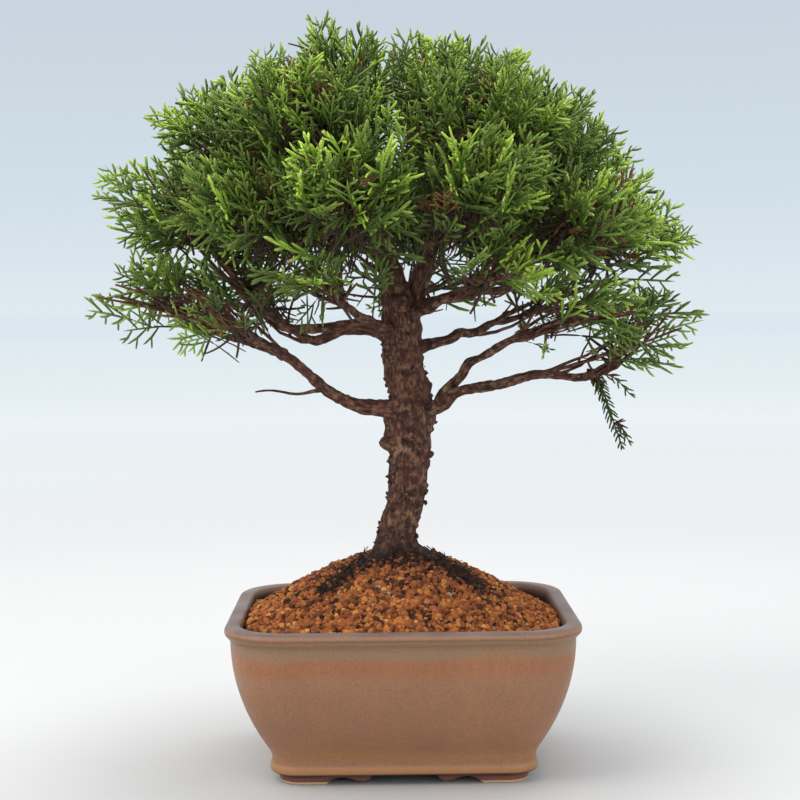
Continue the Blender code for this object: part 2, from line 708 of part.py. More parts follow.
def make_hanging_shoot(room):
    """A shoot of longer leaves that hangs from the low right limb."""
    root = place(HANGING_SHOOT_ROOT)
    lean_x, lean_y = (lean / 1000 for lean in HANGING_SHOOT_LEAN)
    points, radii = [], []
    for step in range(8):
        share = step / 7
        points.append(root + Vector((lean_x * share, lean_y * share, -HANGING_SHOOT_LENGTH * share)))
        radii.append(HANGING_SHOOT_RADIUS * (0.15 + 0.85 * math.sin(math.pi * (0.02 + 0.90 * share))))
    shoot = tube("hanging_shoot", points, radii)
    boolean(shoot, [room], "DIFFERENCE")
    weld(shoot)
    smooth(shoot)
    finish(shoot, "hanging_foliage")
    return shoot


# ---------------------------------------------------------------- assembly
def main():
    clear_scene()
    make_pot()
    sides = {"left": -DRAIN_HOLE_X, "right": DRAIN_HOLE_X}
    floor = FOOT_HEIGHT + POT_FLOOR
    wire_rooms = [wire("tie_wire_room", tie_wire_route(), TIE_WIRE, GAP)]
    mesh_rooms = []
    for side, x in sides.items():
        make_drain_mesh(f"drain_mesh_{side}", x)
        finish(wire(f"mesh_clip_{side}", clip_route(x), CLIP_WIRE), "clip_wire")
        wire_rooms.append(wire("clip_room", clip_route(x), CLIP_WIRE, GAP))
        half = MESH_SIDE / 2 + GAP
        mesh_rooms.append(
            box("mesh_room", (x - half, -half, floor - GAP), (x + half, half, floor + MESH_THICK + 2 * GAP)))
    finish(wire("tie_wire", tie_wire_route(), TIE_WIRE), "tie_wire")

    wood = make_wood("trunk_and_limbs", 0.0)
    smooth(wood)
    finish(wood, "bark")
    room = make_wood("wood_room", GAP)

    grit = make_grit()
    boolean(grit, mesh_rooms, "DIFFERENCE")
    boolean(grit, wire_rooms, "DIFFERENCE")
    weld(grit)
    finish(grit, "grit")
    soil = make_soil()
    boolean(soil, [wire_rooms[0]], "DIFFERENCE")
    boolean(soil, [room], "DIFFERENCE")
    weld(soil)
    finish(soil, "soil")

    make_hanging_shoot(room)
    make_pads(room)
    remove(room, *wire_rooms, *mesh_rooms)


main()
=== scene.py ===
"""A small conifer bonsai in a glazed pot: the looks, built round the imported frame.

Lengths inside the classes are millimetres, in the frame's own axes. They become metres where a mesh is made.
"""

import logging
import math
from collections.abc import Callable
from dataclasses import dataclass, field
from enum import Enum

import bmesh
import bpy
import numpy as np
from mathutils import Matrix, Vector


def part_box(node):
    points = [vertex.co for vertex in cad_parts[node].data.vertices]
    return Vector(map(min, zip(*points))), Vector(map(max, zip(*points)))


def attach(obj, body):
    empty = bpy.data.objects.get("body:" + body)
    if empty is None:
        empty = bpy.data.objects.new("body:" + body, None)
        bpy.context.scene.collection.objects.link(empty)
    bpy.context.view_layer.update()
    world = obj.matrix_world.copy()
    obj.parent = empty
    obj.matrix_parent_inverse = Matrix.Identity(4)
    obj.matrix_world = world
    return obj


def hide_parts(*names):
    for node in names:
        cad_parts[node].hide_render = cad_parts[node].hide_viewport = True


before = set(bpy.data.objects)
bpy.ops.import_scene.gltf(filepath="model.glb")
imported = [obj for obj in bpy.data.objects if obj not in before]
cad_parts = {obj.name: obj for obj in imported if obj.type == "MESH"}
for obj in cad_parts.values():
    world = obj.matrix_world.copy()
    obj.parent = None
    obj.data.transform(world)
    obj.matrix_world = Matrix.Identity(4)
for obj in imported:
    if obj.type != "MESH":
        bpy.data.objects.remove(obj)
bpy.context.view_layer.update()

log = logging.getLogger("bonsai")

MM = 0.001
BODY = "root"
PALETTE = "OFBake"  # the map on which a face lies at the place of its colour
WRAP = "Wrap"  # the bark's map, in millimetres across and along
TONE_STEP = 0.012  # how much of the palette's height one face takes

Array = np.ndarray
Node = bpy.types.Node
Socket = bpy.types.NodeSocket
Tree = bpy.types.NodeTree
Thing = bpy.types.Object
Material = bpy.types.Material
Colour = tuple[float, float, float, float]
Point = tuple[float, float, float]
Stops = tuple[tuple[float, Colour], ...]  # colours at places from 0 to 1
Bent = tuple[tuple[float, float, float, float], ...]  # points of a stem, and its radius at each


def paint(red: int, green: int, blue: int) -> Colour:
    """Turns a screen colour into the linear one that shaders take.

    Args:
        red: Red from 0 to 255.
        green: Green from 0 to 255.
        blue: Blue from 0 to 255.

    Returns:
        The linear colour, opaque: c/12.92 below 0.04045, else ((c + 0.055)/1.055)^2.4.
    """
    share = np.array([red, green, blue]) / 255
    linear = np.where(share <= 0.04045, share / 12.92, ((share + 0.055) / 1.055) ** 2.4)
    return (float(linear[0]), float(linear[1]), float(linear[2]), 1.0)


def unit(vectors: Array) -> Array:
    """Scales vectors, along the last axis, to length 1."""
    return vectors / np.maximum(np.linalg.norm(vectors, axis=-1, keepdims=True), 1e-12)


# ---------------------------------------------------------------- surfaces


@dataclass
class Surface:
    """Points with the quads and triangles between them, and each corner's place on a map."""

    points: Array
    quads: Array = field(default_factory=lambda: np.zeros((0, 4), int))
    triangles: Array = field(default_factory=lambda: np.zeros((0, 3), int))
    quad_map: Array = field(default_factory=lambda: np.zeros((0, 4, 2)))
    triangle_map: Array = field(default_factory=lambda: np.zeros((0, 3, 2)))

    @staticmethod
    def joined(surfaces: list["Surface"]) -> "Surface":
        """Puts several surfaces into one.

        Args:
            surfaces: The surfaces, in order.

        Returns:
            One surface. Each face's numbers go up by the count of points before it.
        """
        before = np.cumsum([0] + [len(s.points) for s in surfaces[:-1]])
        return Surface(
            np.concatenate([s.points for s in surfaces]),
            np.concatenate([s.quads + n for s, n in zip(surfaces, before)]),
            np.concatenate([s.triangles + n for s, n in zip(surfaces, before)]),
            np.concatenate([s.quad_map for s in surfaces]),
            np.concatenate([s.triangle_map for s in surfaces]),
        )

    def piece(self, name: str, map_name: str = "", smooth: bool = True) -> Thing:
        """Makes the Blender object, at the origin, in metres.

        Args:
            name: The object's name.
            map_name: The name of its UV map, or nothing for a piece without one.
            smooth: True for smooth shading.

        Returns:
            The new object, linked to the scene.
        """
        mesh = bpy.data.meshes.new(name)
        mesh.vertices.add(len(self.points))
        mesh.vertices.foreach_set("co", (self.points * MM).astype(np.float32).ravel())
        corners = np.concatenate([self.quads.ravel(), self.triangles.ravel()])
        in_quads = self.quads.size
        starts = np.concatenate(
            [np.arange(0, in_quads, 4), np.arange(in_quads, len(corners), 3)]
        )
        mesh.loops.add(len(corners))
        mesh.loops.foreach_set("vertex_index", corners.astype(np.int32))
        mesh.polygons.add(len(starts))
        mesh.polygons.foreach_set("loop_start", starts.astype(np.int32))
        mesh.polygons.foreach_set("use_smooth", np.full(len(starts), smooth))
        if map_name:
            places = np.concatenate(
                [self.quad_map.reshape(-1, 2), self.triangle_map.reshape(-1, 2)]
            )
            layer = mesh.uv_layers.new(name=map_name)
            layer.data.foreach_set("uv", places.astype(np.float32).ravel())
        mesh.update(calc_edges=True)
        mesh.validate()
        made = bpy.data.objects.new(name, mesh)
        bpy.context.scene.collection.objects.link(made)
        return made


def grid_quads(rows: int, columns: int, close_rows: bool = False, close_columns: bool = False) -> Array:
    """Numbers the quads of a grid whose points are numbered row by row.

    Args:
        rows: How many rows of points there are.
        columns: How many points a row has.
        close_rows: True if the last row meets the first.
        close_columns: True if each row is a ring.

    Returns:
        Quads (i, j), (i, j+1), (i+1, j+1), (i+1, j). They face outwards where columns run
        anticlockwise about the direction in which rows advance.
    """
    i, j = np.meshgrid(
        np.arange(rows - (not close_rows)), np.arange(columns - (not close_columns)), indexing="ij"
    )
    after_i, after_j = (i + 1) % rows, (j + 1) % columns
    corners = [i * columns + j, i * columns + after_j, after_i * columns + after_j, after_i * columns + j]
    return np.stack(corners, axis=-1).reshape(-1, 4)


def smooth_path(points: Array, count: int) -> Array:
    """Reads a Catmull-Rom curve through points, in as many dimensions as they have.

    Args:
        points: The points that the curve passes through.
        count: How many points to return.

    Returns:
        The curve's points, evenly spaced in its parameter: on each stretch the cubic whose
        slope at a point is half the step between that point's neighbours.
    """
    points = np.asarray(points, float)
    ends = np.vstack([2 * points[0] - points[1], points, 2 * points[-1] - points[-2]])
    share = np.linspace(0, len(points) - 1, count)
    i = np.minimum(share.astype(int), len(points) - 2)
    t = (share - i)[:, None]
    a, b, c, d = ends[i], ends[i + 1], ends[i + 2], ends[i + 3]
    cubic = (3 * b - a - 3 * c + d) * t**3
    return 0.5 * (2 * b + (c - a) * t + (2 * a - 5 * b + 4 * c - d) * t**2 + cubic)


NOISE_CELLS = 997  # cells along, before the noise repeats


def value_noise(across: Array, along: Array, period: int, seed: int) -> Array:
    """Reads smooth seeded noise that repeats across.

    Args:
        across: Place across, in cells. It repeats after `period` cells.
        along: Place along, in cells.
        period: Cells in one turn.
        seed: Which noise.

    Returns:
        Values from -1 to 1: random values at the cells' corners, blended by t²(3 - 2t).
    """
    table = np.random.default_rng(seed).uniform(-1, 1, (period, NOISE_CELLS))
    i, j = np.floor(across).astype(int), np.floor(along).astype(int)
    wi, wj = across - i, along - j
    wi, wj = wi * wi * (3 - 2 * wi), wj * wj * (3 - 2 * wj)
    near, far = (
        table[i % period, row % NOISE_CELLS] * (1 - wi) + table[(i + 1) % period, row % NOISE_CELLS] * wi
        for row in (j, j + 1)
    )
    return near * (1 - wj) + far * wj


def frames_along(path: Array) -> tuple[Array, Array, Array]:
    """Works out the directions along and across a path, without twist.

    Args:
        path: Points of the path, in order.

    Returns:
        The tangent T, the side N = R - (R·T)T made a unit vector, and B = T × N. R is +Y for
        a path that mostly climbs and -Z for one that mostly spreads.
    """
    tangent = unit(np.gradient(path, axis=0))
    chord = unit(path[-1] - path[0])
    reference = np.array([0.0, 1.0, 0.0]) if abs(chord[2]) > 0.8 else np.array([0.0, 0.0, -1.0])
    side = unit(reference - (tangent @ reference)[:, None] * tangent)
    return tangent, side, np.cross(tangent, side)


def tube(
    path: Array,
    radii: Array,
    around: int,
    relief: Callable[[Array, Array], Array] | None = None,
) -> Surface:
    """Carries a ring along a path and closes both ends.

    Args:
        path: The centre line.
        radii: The radius at each of its points.
        around: Points in a ring.
        relief: Height added at (turn from 0 to 1, distance along in millimetres).

    Returns:
        The surface P(s, a) = C(s) + (r(s) + relief)·(cos a · N(s) + sin a · B(s)), with its
        map in millimetres: the mean girth across, and the distance along.
    """
    _, side, other = frames_along(path)
    steps = np.linalg.norm(np.diff(path, axis=0), axis=1)
    along = np.concatenate([[0], np.cumsum(steps)])
    turn = np.arange(around) / around
    turns, lengths = np.meshgrid(turn, along)
    reach = radii[:, None] + (relief(turns, lengths) if relief else 0)
    angle = 2 * math.pi * turns[..., None]
    ring = np.cos(angle) * side[:, None] + np.sin(angle) * other[:, None]
    points = (path[:, None] + reach[..., None] * ring).reshape(-1, 3)
    rows = len(path)
    first, last = len(points), len(points) + 1
    j = np.arange(around)
    after = (j + 1) % around
    start_fan = np.stack([np.full(around, first), after, j], axis=1)
    end_fan = np.stack([np.full(around, last), j, after], axis=1) + (
        np.array([0, 1, 1]) * (rows - 1) * around
    )
    quads = grid_quads(rows, around, close_columns=True)
    girth = 2 * math.pi * float(radii.mean())
    row, column = np.divmod(np.arange(len(quads)), around)
    left, right = column / around * girth, (column + 1) / around * girth
    low, high = along[row], along[row + 1]
    corners = ((left, low), (right, low), (right, high), (left, high))
    quad_map = np.stack([np.stack(corner, 1) for corner in corners], axis=1)
    edge = np.stack([j / around, (j + 1) / around], 1) * girth
    middle = edge.mean(1)
    start_map = np.stack(
        [
            np.stack([middle, np.full(around, -1.0)], 1),
            np.stack([edge[:, 1], np.zeros(around)], 1),
            np.stack([edge[:, 0], np.zeros(around)], 1),
        ],
        axis=1,
    )
    end_map = np.stack(
        [
            np.stack([middle, np.full(around, along[-1] + 1)], 1),
            np.stack([edge[:, 0], np.full(around, along[-1])], 1),
            np.stack([edge[:, 1], np.full(around, along[-1])], 1),
        ],
        axis=1,
    )
    tangent = unit(path[-1] - path[-2])
    caps = np.stack([path[0], path[-1] + tangent * radii[-1] * 0.6])
    return Surface(
        np.vstack([points, caps]),
        quads,
        np.vstack([start_fan, end_fan]),
        quad_map,
        np.concatenate([start_map, end_map]),
    )


# ------------------------------------------------------ needles and sprays


@dataclass
class Needles:
    """Many slim closed spindles at once, each bent along its own curve."""

    starts: Array
    bends: Array
    ends: Array
    radii: Array
    tones: Array  # where each one's two ends lie along the palette, from wood to young tip

    rings: tuple[float, ...] = (0.05, 0.52, 0.86)
    fullness: tuple[float, ...] = (0.66, 1.0, 0.76)

    SIDES = 4

    def surface(self, flat: Array) -> Surface:
        """Builds the spindles.

        Args:
            flat: The direction that their cross-sections line up with.

        Returns:
            Rings of four points on C(t) = (1-t)²A + 2t(1-t)B + t²D, with a point at each end, mapped
            along the palette by t and across it by one step.
        """
        count, sides = len(self.starts), self.SIDES
        share = np.array(self.rings)[None, :, None]
        a, b, d = (x[:, None] for x in (self.starts, self.bends, self.ends))
        centres = (1 - share) ** 2 * a + 2 * share * (1 - share) * b + share**2 * d
        tangent = unit((1 - share) * (b - a) + share * (d - b))
        side = unit(flat - (tangent @ flat)[..., None] * tangent)
        other = np.cross(tangent, side)
        angle = (2 * math.pi * (np.arange(sides) + 0.5) / sides)[None, None, :, None]
        reach = (self.radii[:, None] * np.array(self.fullness))[..., None, None]
        rings = centres[:, :, None] + reach * (
            np.cos(angle) * side[:, :, None] + np.sin(angle) * other[:, :, None]
        )
        rings = rings.reshape(count, -1, 3)
        points = np.concatenate([rings, self.starts[:, None], self.ends[:, None]], axis=1)
        in_one = points.shape[1]
        rows = len(self.rings)
        quads = grid_quads(rows, sides, close_columns=True)
        j = np.arange(sides)
        after = (j + 1) % sides
        start_fan = np.stack([np.full(sides, in_one - 2), after, j], axis=1)
        last = (rows - 1) * sides
        end_fan = np.stack([np.full(sides, in_one - 1), j + last, after + last], axis=1)
        first = (np.arange(count) * in_one)[:, None, None]
        quad_share, quad_step, fan_share, fan_step = self._map_shares(rows, sides)
        low, span = self.tones[:, :1, None], np.ptp(self.tones, axis=1)[:, None, None]
        quad_map = np.stack(
            np.broadcast_arrays(low + span * quad_share[None], quad_step[None]), axis=-1
        )
        fan_map = np.stack(np.broadcast_arrays(low + span * fan_share[None], fan_step[None]), axis=-1)
        return Surface(
            points.reshape(-1, 3),
            (quads[None] + first).reshape(-1, 4),
            (np.vstack([start_fan, end_fan])[None] + first).reshape(-1, 3),
            quad_map.reshape(-1, 4, 2),
            fan_map.reshape(-1, 3, 2),
        )

    def _map_shares(self, rows: int, sides: int) -> tuple[Array, Array, Array, Array]:
        """Gives each corner's share along the spindle and across its palette step, in face order."""
        ring = np.array(self.rings)
        low, high = np.repeat(ring[:-1], sides), np.repeat(ring[1:], sides)
        quad_share = np.stack([low, low, high, high], axis=1)
        quad_step = np.tile([0.0, 1.0, 1.0, 0.0], ((rows - 1) * sides, 1))
        fan_share = np.array([[0.0, ring[0], ring[0]]] * sides + [[1.0, ring[-1], ring[-1]]] * sides)
        fan_step = np.array([[0.5, 1.0, 0.0]] * sides + [[0.5, 0.0, 1.0]] * sides)
        return quad_share, quad_step, fan_share, fan_step


@dataclass(frozen=True)
class SprayShape:
    """One fan of scale-leaved branchlets: a stalk, an axis, side shoots in turn, and their forks."""

    side_shoots: int = 7
    fork_from: int = 1
    forks: int = 4
    opening: float = 38.0  # degrees between the axis and a side shoot
    fullness: float = 0.52  # length of the longest side shoot, over the axis
    thickness: float = 0.0265  # radius of a branchlet, over the axis
    stalk: float = 0.50  # length of the bare stalk behind the fan
    curl: float = 0.10

    def needles(self, seed: int) -> Needles:
        """Lays the branchlets out in a plane, the axis one unit long along +X.

        Args:
            seed: Which fan.

        Returns:
            The needles. Side shoot k leaves the axis at x = 0.10 + 0.84·k/n, alternately left
            and right, with length fullness·(1 - 0.62·x²), and bends forward as it grows.
        """
        random = np.random.default_rng(seed)
        n = self.side_shoots
        place = 0.10 + 0.84 * (np.arange(n) + random.uniform(-0.25, 0.25, n)) / n
        sign = np.where(np.arange(n) % 2 == 0, 1.0, -1.0)
        length = self.fullness * (1 - 0.62 * place**2) * random.uniform(0.78, 1.18, n)
        opening = np.radians(self.opening + random.uniform(-9, 9, n))
        root = np.stack([place, np.zeros(n), self.curl * place**2], axis=1)

        def aim(angle: Array, lift: float) -> Array:
            """Points each side shoot along its angle, lifted or dipped at random."""
            return np.stack([np.cos(angle), sign * np.sin(angle), random.uniform(-lift, lift, n)], axis=1)

        bend = root + aim(opening + 0.20, 0.16) * (length * 0.5)[:, None]
        tip = bend + aim(opening - 0.30, 0.25) * (length * 0.5)[:, None]

        picked = np.arange(self.fork_from, self.fork_from + self.forks) % n
        turned = opening[picked] + random.choice([-0.72, 0.66], self.forks, p=[0.45, 0.55])
        fork_length = length[picked] * random.uniform(0.38, 0.56, self.forks)
        fork_root = (root[picked] + 2 * bend[picked] + tip[picked]) / 4
        heading = np.stack(
            [np.cos(turned), sign[picked] * np.sin(turned), random.uniform(-0.3, 0.3, self.forks)], axis=1
        )
        fork_tip = fork_root + heading * fork_length[:, None]

        axis = np.array([[0.0, 0.0, 0.0], [0.5, 0.02, 0.0], [1.0, 0.0, self.curl]])
        stalk = np.array(
            [[-self.stalk, random.uniform(-0.12, 0.12), -0.10], [-0.3, 0.0, -0.02], [0.06, 0.0, 0.0]]
        )
        starts = np.vstack([stalk[0], axis[0], root, fork_root])
        bends = np.vstack([stalk[1], axis[1], bend, (fork_root + fork_tip) / 2 + heading * 0.01])
        ends = np.vstack([stalk[2], axis[2], tip, fork_tip])
        thick = self.thickness
        radii = np.concatenate(
            [
                [thick * 0.62, thick * 0.95],
                thick * random.uniform(0.92, 1.15, n),
                thick * random.uniform(0.8, 1.0, self.forks),
            ]
        )
        forked = place[picked]
        tones = np.vstack(
            [
                [0.01, 0.07],
                [0.13, 0.92],
                np.stack([0.22 + 0.30 * place, np.minimum(0.72 + 0.30 * place, 0.99)], axis=1),
                np.stack([0.45 + 0.25 * forked, np.minimum(0.80 + 0.20 * forked, 0.99)], axis=1),
            ]
        )
        return Needles(starts, bends, ends, radii, tones)


class Sprays:
    """The fans that the whole canopy is set from."""

    SHAPES = (
        SprayShape(),
        SprayShape(opening=33, fullness=0.46, curl=0.16),
        SprayShape(side_shoots=8, opening=42, fullness=0.54, forks=5, curl=0.02),
        SprayShape(side_shoots=8, opening=36, fullness=0.42, forks=3),
        SprayShape(side_shoots=6, opening=40, fullness=0.60, forks=6, curl=-0.08),
        SprayShape(side_shoots=5, opening=29, fullness=0.52, forks=3, thickness=0.030),
        SprayShape(side_shoots=6, opening=34, fullness=0.40, forks=0, curl=0.12),
    )

    def __init__(self) -> None:
        """Builds each fan once."""
        self.built = [
            shape.needles(seed).surface(np.array([0.0, 0.0, 1.0])) for seed, shape in enumerate(self.SHAPES)
        ]

    def set_out(
        self, bases: Array, headings: Array, rolls: Array, lengths: Array, tones: Array, kinds: Array
    ) -> Surface:
        """Places fans, one for each row of the arrays.

        Args:
            bases: Where each axis starts.
            headings: Where each axis points, as unit vectors.
            rolls: Each fan's turn about its axis, in radians.
            lengths: The length of each axis.
            tones: Each fan's place across the palette.
            kinds: Which shape each fan takes.

        Returns:
            One surface: P = base + length·(x·heading + y·side + z·normal) for each fan's points.
        """
        up = np.where(np.abs(headings[:, 2:]) > 0.9, [[1.0, 0.0, 0.0]], [[0.0, 0.0, 1.0]])
        level = unit(np.cross(up, headings))
        steep = np.cross(headings, level)
        side = np.cos(rolls)[:, None] * level + np.sin(rolls)[:, None] * steep
        turn = np.stack([headings, side, np.cross(headings, side)], axis=1)
        made = []
        for kind, fan in enumerate(self.built):
            rows = np.flatnonzero(kinds == kind)
            if not len(rows):
                continue
            points = np.einsum("vi,nij->nvj", fan.points, turn[rows]) * lengths[rows, None, None]
            points += bases[rows, None]
            first = (np.arange(len(rows)) * len(fan.points))[:, None, None]
            made.append(
                Surface(
                    points.reshape(-1, 3),
                    (fan.quads[None] + first).reshape(-1, 4),
                    (fan.triangles[None] + first).reshape(-1, 3),
                    self._toned(fan.quad_map, tones[rows]),
                    self._toned(fan.triangle_map, tones[rows]),
                )
            )
        return Surface.joined(made)

    def _toned(self, places: Array, tones: Array) -> Array:
        """Copies a fan's map for each tone: u stays, and v becomes tone + step·v."""
        copies = np.repeat(places[None], len(tones), axis=0)
        copies[..., 1] = tones[:, None, None] + TONE_STEP * copies[..., 1]
        return copies.reshape(-1, *places.shape[1:])


# ---------------------------------------------------------------- finishes


class Graph:
    """Adds nodes to one node tree and joins them."""

    def __init__(self, tree: Tree) -> None:
        """Keeps the tree."""
        self.tree = tree

    def give(self, node: Node, name: str | int, value: object) -> None:
        """Feeds an output into a node's input, or sets a plain value on it."""
        if isinstance(value, Socket):
            self.tree.links.new(value, node.inputs[name])
        else:
            node.inputs[name].default_value = value

    def add(self, kind: str, inputs: dict[str | int, object] | None = None, **settings: object) -> Node:
        """Adds one node.

        Args:
            kind: The node's type.
            inputs: A value or a socket for each input that isn't left alone.
            **settings: The node's own properties.

        Returns:
            The node.
        """
        node = self.tree.nodes.new(kind)
        for name, value in settings.items():
            setattr(node, name, value)
        for name, value in (inputs or {}).items():
            self.give(node, name, value)
        return node

    def group(self, tree: Tree, **inputs: object) -> Socket:
        """Places a shared effect and returns its one output."""
        return self.add("ShaderNodeGroup", inputs, node_tree=tree).outputs[0]

    def maths(self, operation: str, *terms: object, clamp: bool = True) -> Socket:
        """Works one sum, kept between 0 and 1 unless clamp is off."""
        node = self.add("ShaderNodeMath", dict(enumerate(terms)), operation=operation, use_clamp=clamp)
        return node.outputs[0]

    def mix(self, share: object, first: object, second: object) -> Socket:
        """Blends two colours by a share or a mask."""
        return self.add("ShaderNodeMix", {0: share, 6: first, 7: second}, data_type="RGBA").outputs[2]

    def veil(self, mask: Socket, strength: object, under: object, over: object) -> Socket:
        """Lays one colour over another, as far as mask × strength."""
        return self.mix(self.maths("MULTIPLY", mask, strength), under, over)

    def remap(
        self,
        value: Socket,
        start: float,
        end: float,
        low: object = 0.0,
        high: object = 1.0,
        **settings: object,
    ) -> Socket:
        """Stretches a value from low to high so that it runs from start to end, and no further."""
        ends = {"Value": value, "From Min": low, "From Max": high, "To Min": start, "To Max": end}
        return self.add("ShaderNodeMapRange", ends, **settings).outputs[0]

    def split(self, vector: Socket) -> bpy.types.NodeOutputs:
        """Gives a vector's three numbers."""
        return self.add("ShaderNodeSeparateXYZ", {0: vector}).outputs

    def ramp(self, share: Socket, stops: Stops) -> Socket:
        """Reads a colour from stops along a share from 0 to 1."""
        node = self.add("ShaderNodeValToRGB", {0: share})
        elements = node.color_ramp.elements
        elements[0].position, elements[0].color = stops[0]
        elements[1].position, elements[1].color = stops[-1]
        for position, colour in stops[1:-1]:
            elements.new(position).color = colour
        return node.outputs[0]


class Effects:
    """Shader node groups that several finishes share, each built once."""

    def __init__(self) -> None:
        """Builds the groups."""
        self.mottle = self._mottle()
        self.speckle = self._speckle()
        self.band = self._band()

    @staticmethod
    def _start(
        name: str, numbers: dict[str, float], output: str, placed: bool = True
    ) -> tuple[Graph, bpy.types.NodeOutputs, Node]:
        """Starts a group.

        Args:
            name: The group's name.
            numbers: Its number inputs, with the value that each starts with.
            output: The name of its one output, a number.
            placed: True if it also takes a place, as Vector.

        Returns:
            The graph, what its input node puts out, and its output node.
        """
        tree = bpy.data.node_groups.new(name, "ShaderNodeTree")
        if placed:
            tree.interface.new_socket("Vector", in_out="INPUT", socket_type="NodeSocketVector")
        for label, value in numbers.items():
            socket = tree.interface.new_socket(label, in_out="INPUT", socket_type="NodeSocketFloat")
            socket.default_value = value
        tree.interface.new_socket(output, in_out="OUTPUT", socket_type="NodeSocketFloat")
        graph = Graph(tree)
        return graph, graph.add("NodeGroupInput").outputs, graph.add("NodeGroupOutput")

    def _mottle(self) -> Tree:
        """Cloudy patches: noise, spread about one half by the contrast."""
        numbers = {"Scale": 100.0, "Detail": 4.0, "Contrast": 2.0}
        graph, given, result = self._start("Mottle", numbers, "Value")
        noise = graph.add("ShaderNodeTexNoise", {key: given[key] for key in ("Vector", "Scale", "Detail")})
        centred = graph.maths("SUBTRACT", noise.outputs[0], 0.5, clamp=False)
        spread = graph.maths("MULTIPLY", centred, given["Contrast"], clamp=False)
        graph.give(result, 0, graph.maths("ADD", spread, 0.5))
        return graph.tree

    def _speckle(self) -> Tree:
        """Round specks: near enough to a cell's middle, in the share of cells that holds one."""
        graph, given, result = self._start("Speckle", {"Scale": 500.0, "Size": 0.3, "Amount": 0.3}, "Mask")
        cells = graph.add("ShaderNodeTexVoronoi", {key: given[key] for key in ("Vector", "Scale")}).outputs
        near = graph.remap(cells["Distance"], 0.0, 1.0, given["Size"], 0.05)
        draw = graph.add("ShaderNodeSeparateColor", {0: cells["Color"]}).outputs[0]
        held = graph.maths("LESS_THAN", draw, given["Amount"])
        graph.give(result, 0, graph.maths("MULTIPLY", near, held))
        return graph.tree

    def _band(self) -> Tree:
        """A soft stripe: 1 between two heights, with an edge as wide as the softness."""
        numbers = {"Height": 0.0, "Low": 0.0, "High": 1.0, "Softness": 0.001}
        graph, given, result = self._start("Band", numbers, "Mask", placed=False)
        rise = graph.maths("SUBTRACT", given["Height"], given["Low"], clamp=False)
        fall = graph.maths("SUBTRACT", given["High"], given["Height"], clamp=False)
        sides = [
            graph.remap(side, 0.0, 1.0, 0.0, given["Softness"], interpolation_type="SMOOTHSTEP")
            for side in (rise, fall)
        ]
        graph.give(result, 0, graph.maths("MULTIPLY", *sides))
        return graph.tree


def new_finish(name: str) -> tuple[Material, Graph, Node]:
    """Starts a material.

    Args:
        name: The material's name.

    Returns:
        The material, its graph and its Principled shader.
    """
    material = bpy.data.materials.new(name)
    material.use_nodes = True
    graph = Graph(material.node_tree)
    graph.tree.nodes.clear()
    shader = graph.add("ShaderNodeBsdfPrincipled")
    graph.add("ShaderNodeOutputMaterial", {0: shader.outputs[0]})
    return material, graph, shader


def coat(
    graph: Graph, shader: Node, colour: Socket, rough: Socket, relief: Socket, depth: float, sheen: float
) -> None:
    """Feeds a finish into its shader.

    Args:
        graph: The material's graph.
        shader: Its Principled shader.
        colour: The base colour.
        rough: The roughness.
        relief: The height of its fine relief, from 0 to 1.
        depth: What that height stands for, in metres.
        sheen: The plain level of its highlights.
    """
    bump = graph.add("ShaderNodeBump", {"Height": relief, "Distance": depth})
    for name, value in (
        ("Base Color", colour),
        ("Roughness", rough),
        ("Normal", bump.outputs[0]),
        ("Specular IOR Level", sheen),
    ):
        graph.give(shader, name, value)


@dataclass(frozen=True)
class FoliageFinish:
    """Scale leaves, from woody stalk to young tip, on the palette map."""

    name: str
    dark: Stops
    bright: Stops
    dead: Stops
    roughness: float = 0.52
    gap: Colour = (0.010, 0.020, 0.006, 1.0)  # painted shade between the scales
    sunlit: Colour = (0.42, 0.55, 0.10, 1.0)

    def material(self, effects: Effects) -> Material:
        """Builds the material.

        Args:
            effects: The shared node groups.

        Returns:
            Colour by the place along the shoot, blended from dark to bright by the tone, with
            scale-leaf bands whose troughs are painted shade, and a fine mottle that lifts patches towards a
            painted sunlit highlight. The lowest tones are browned shoots.
        """
        material, graph, shader = new_finish(self.name)
        place = graph.add("ShaderNodeUVMap", uv_map=PALETTE).outputs[0]
        along, tone, _ = graph.split(place)
        green = graph.mix(tone, graph.ramp(along, self.dark), graph.ramp(along, self.bright))
        living = graph.remap(tone, 0.0, 1.0, 0.055, 0.065)
        colour = graph.mix(living, graph.ramp(along, self.dead), green)
        rows = {"Vector": place, "Scale": 7.0, "Distortion": 1.5, "Detail": 1.0}
        scales = graph.add("ShaderNodeTexWave", rows, bands_direction="X").outputs["Fac"]
        # The wave's troughs are painted shade between the scale leaves.
        shaded = graph.veil(scales, 0.22, colour, self.gap)
        # Mottled patches lifted towards the sunlit colour, more towards the tips: painted highlight.
        patch = graph.group(effects.mottle, Vector=place, Scale=34.0, Detail=3.0, Contrast=2.4)
        leafy = graph.remap(along, 0.0, 1.0, 0.09, 0.14)
        lit = graph.maths("MULTIPLY", graph.maths("MULTIPLY", patch, 0.25), leafy)
        final = graph.mix(lit, shaded, graph.mix(0.5, shaded, self.sunlit))
        rough = graph.remap(patch, self.roughness - 0.08, self.roughness + 0.10)
        coat(graph, shader, final, rough, scales, 0.00018, 0.35)
        return material


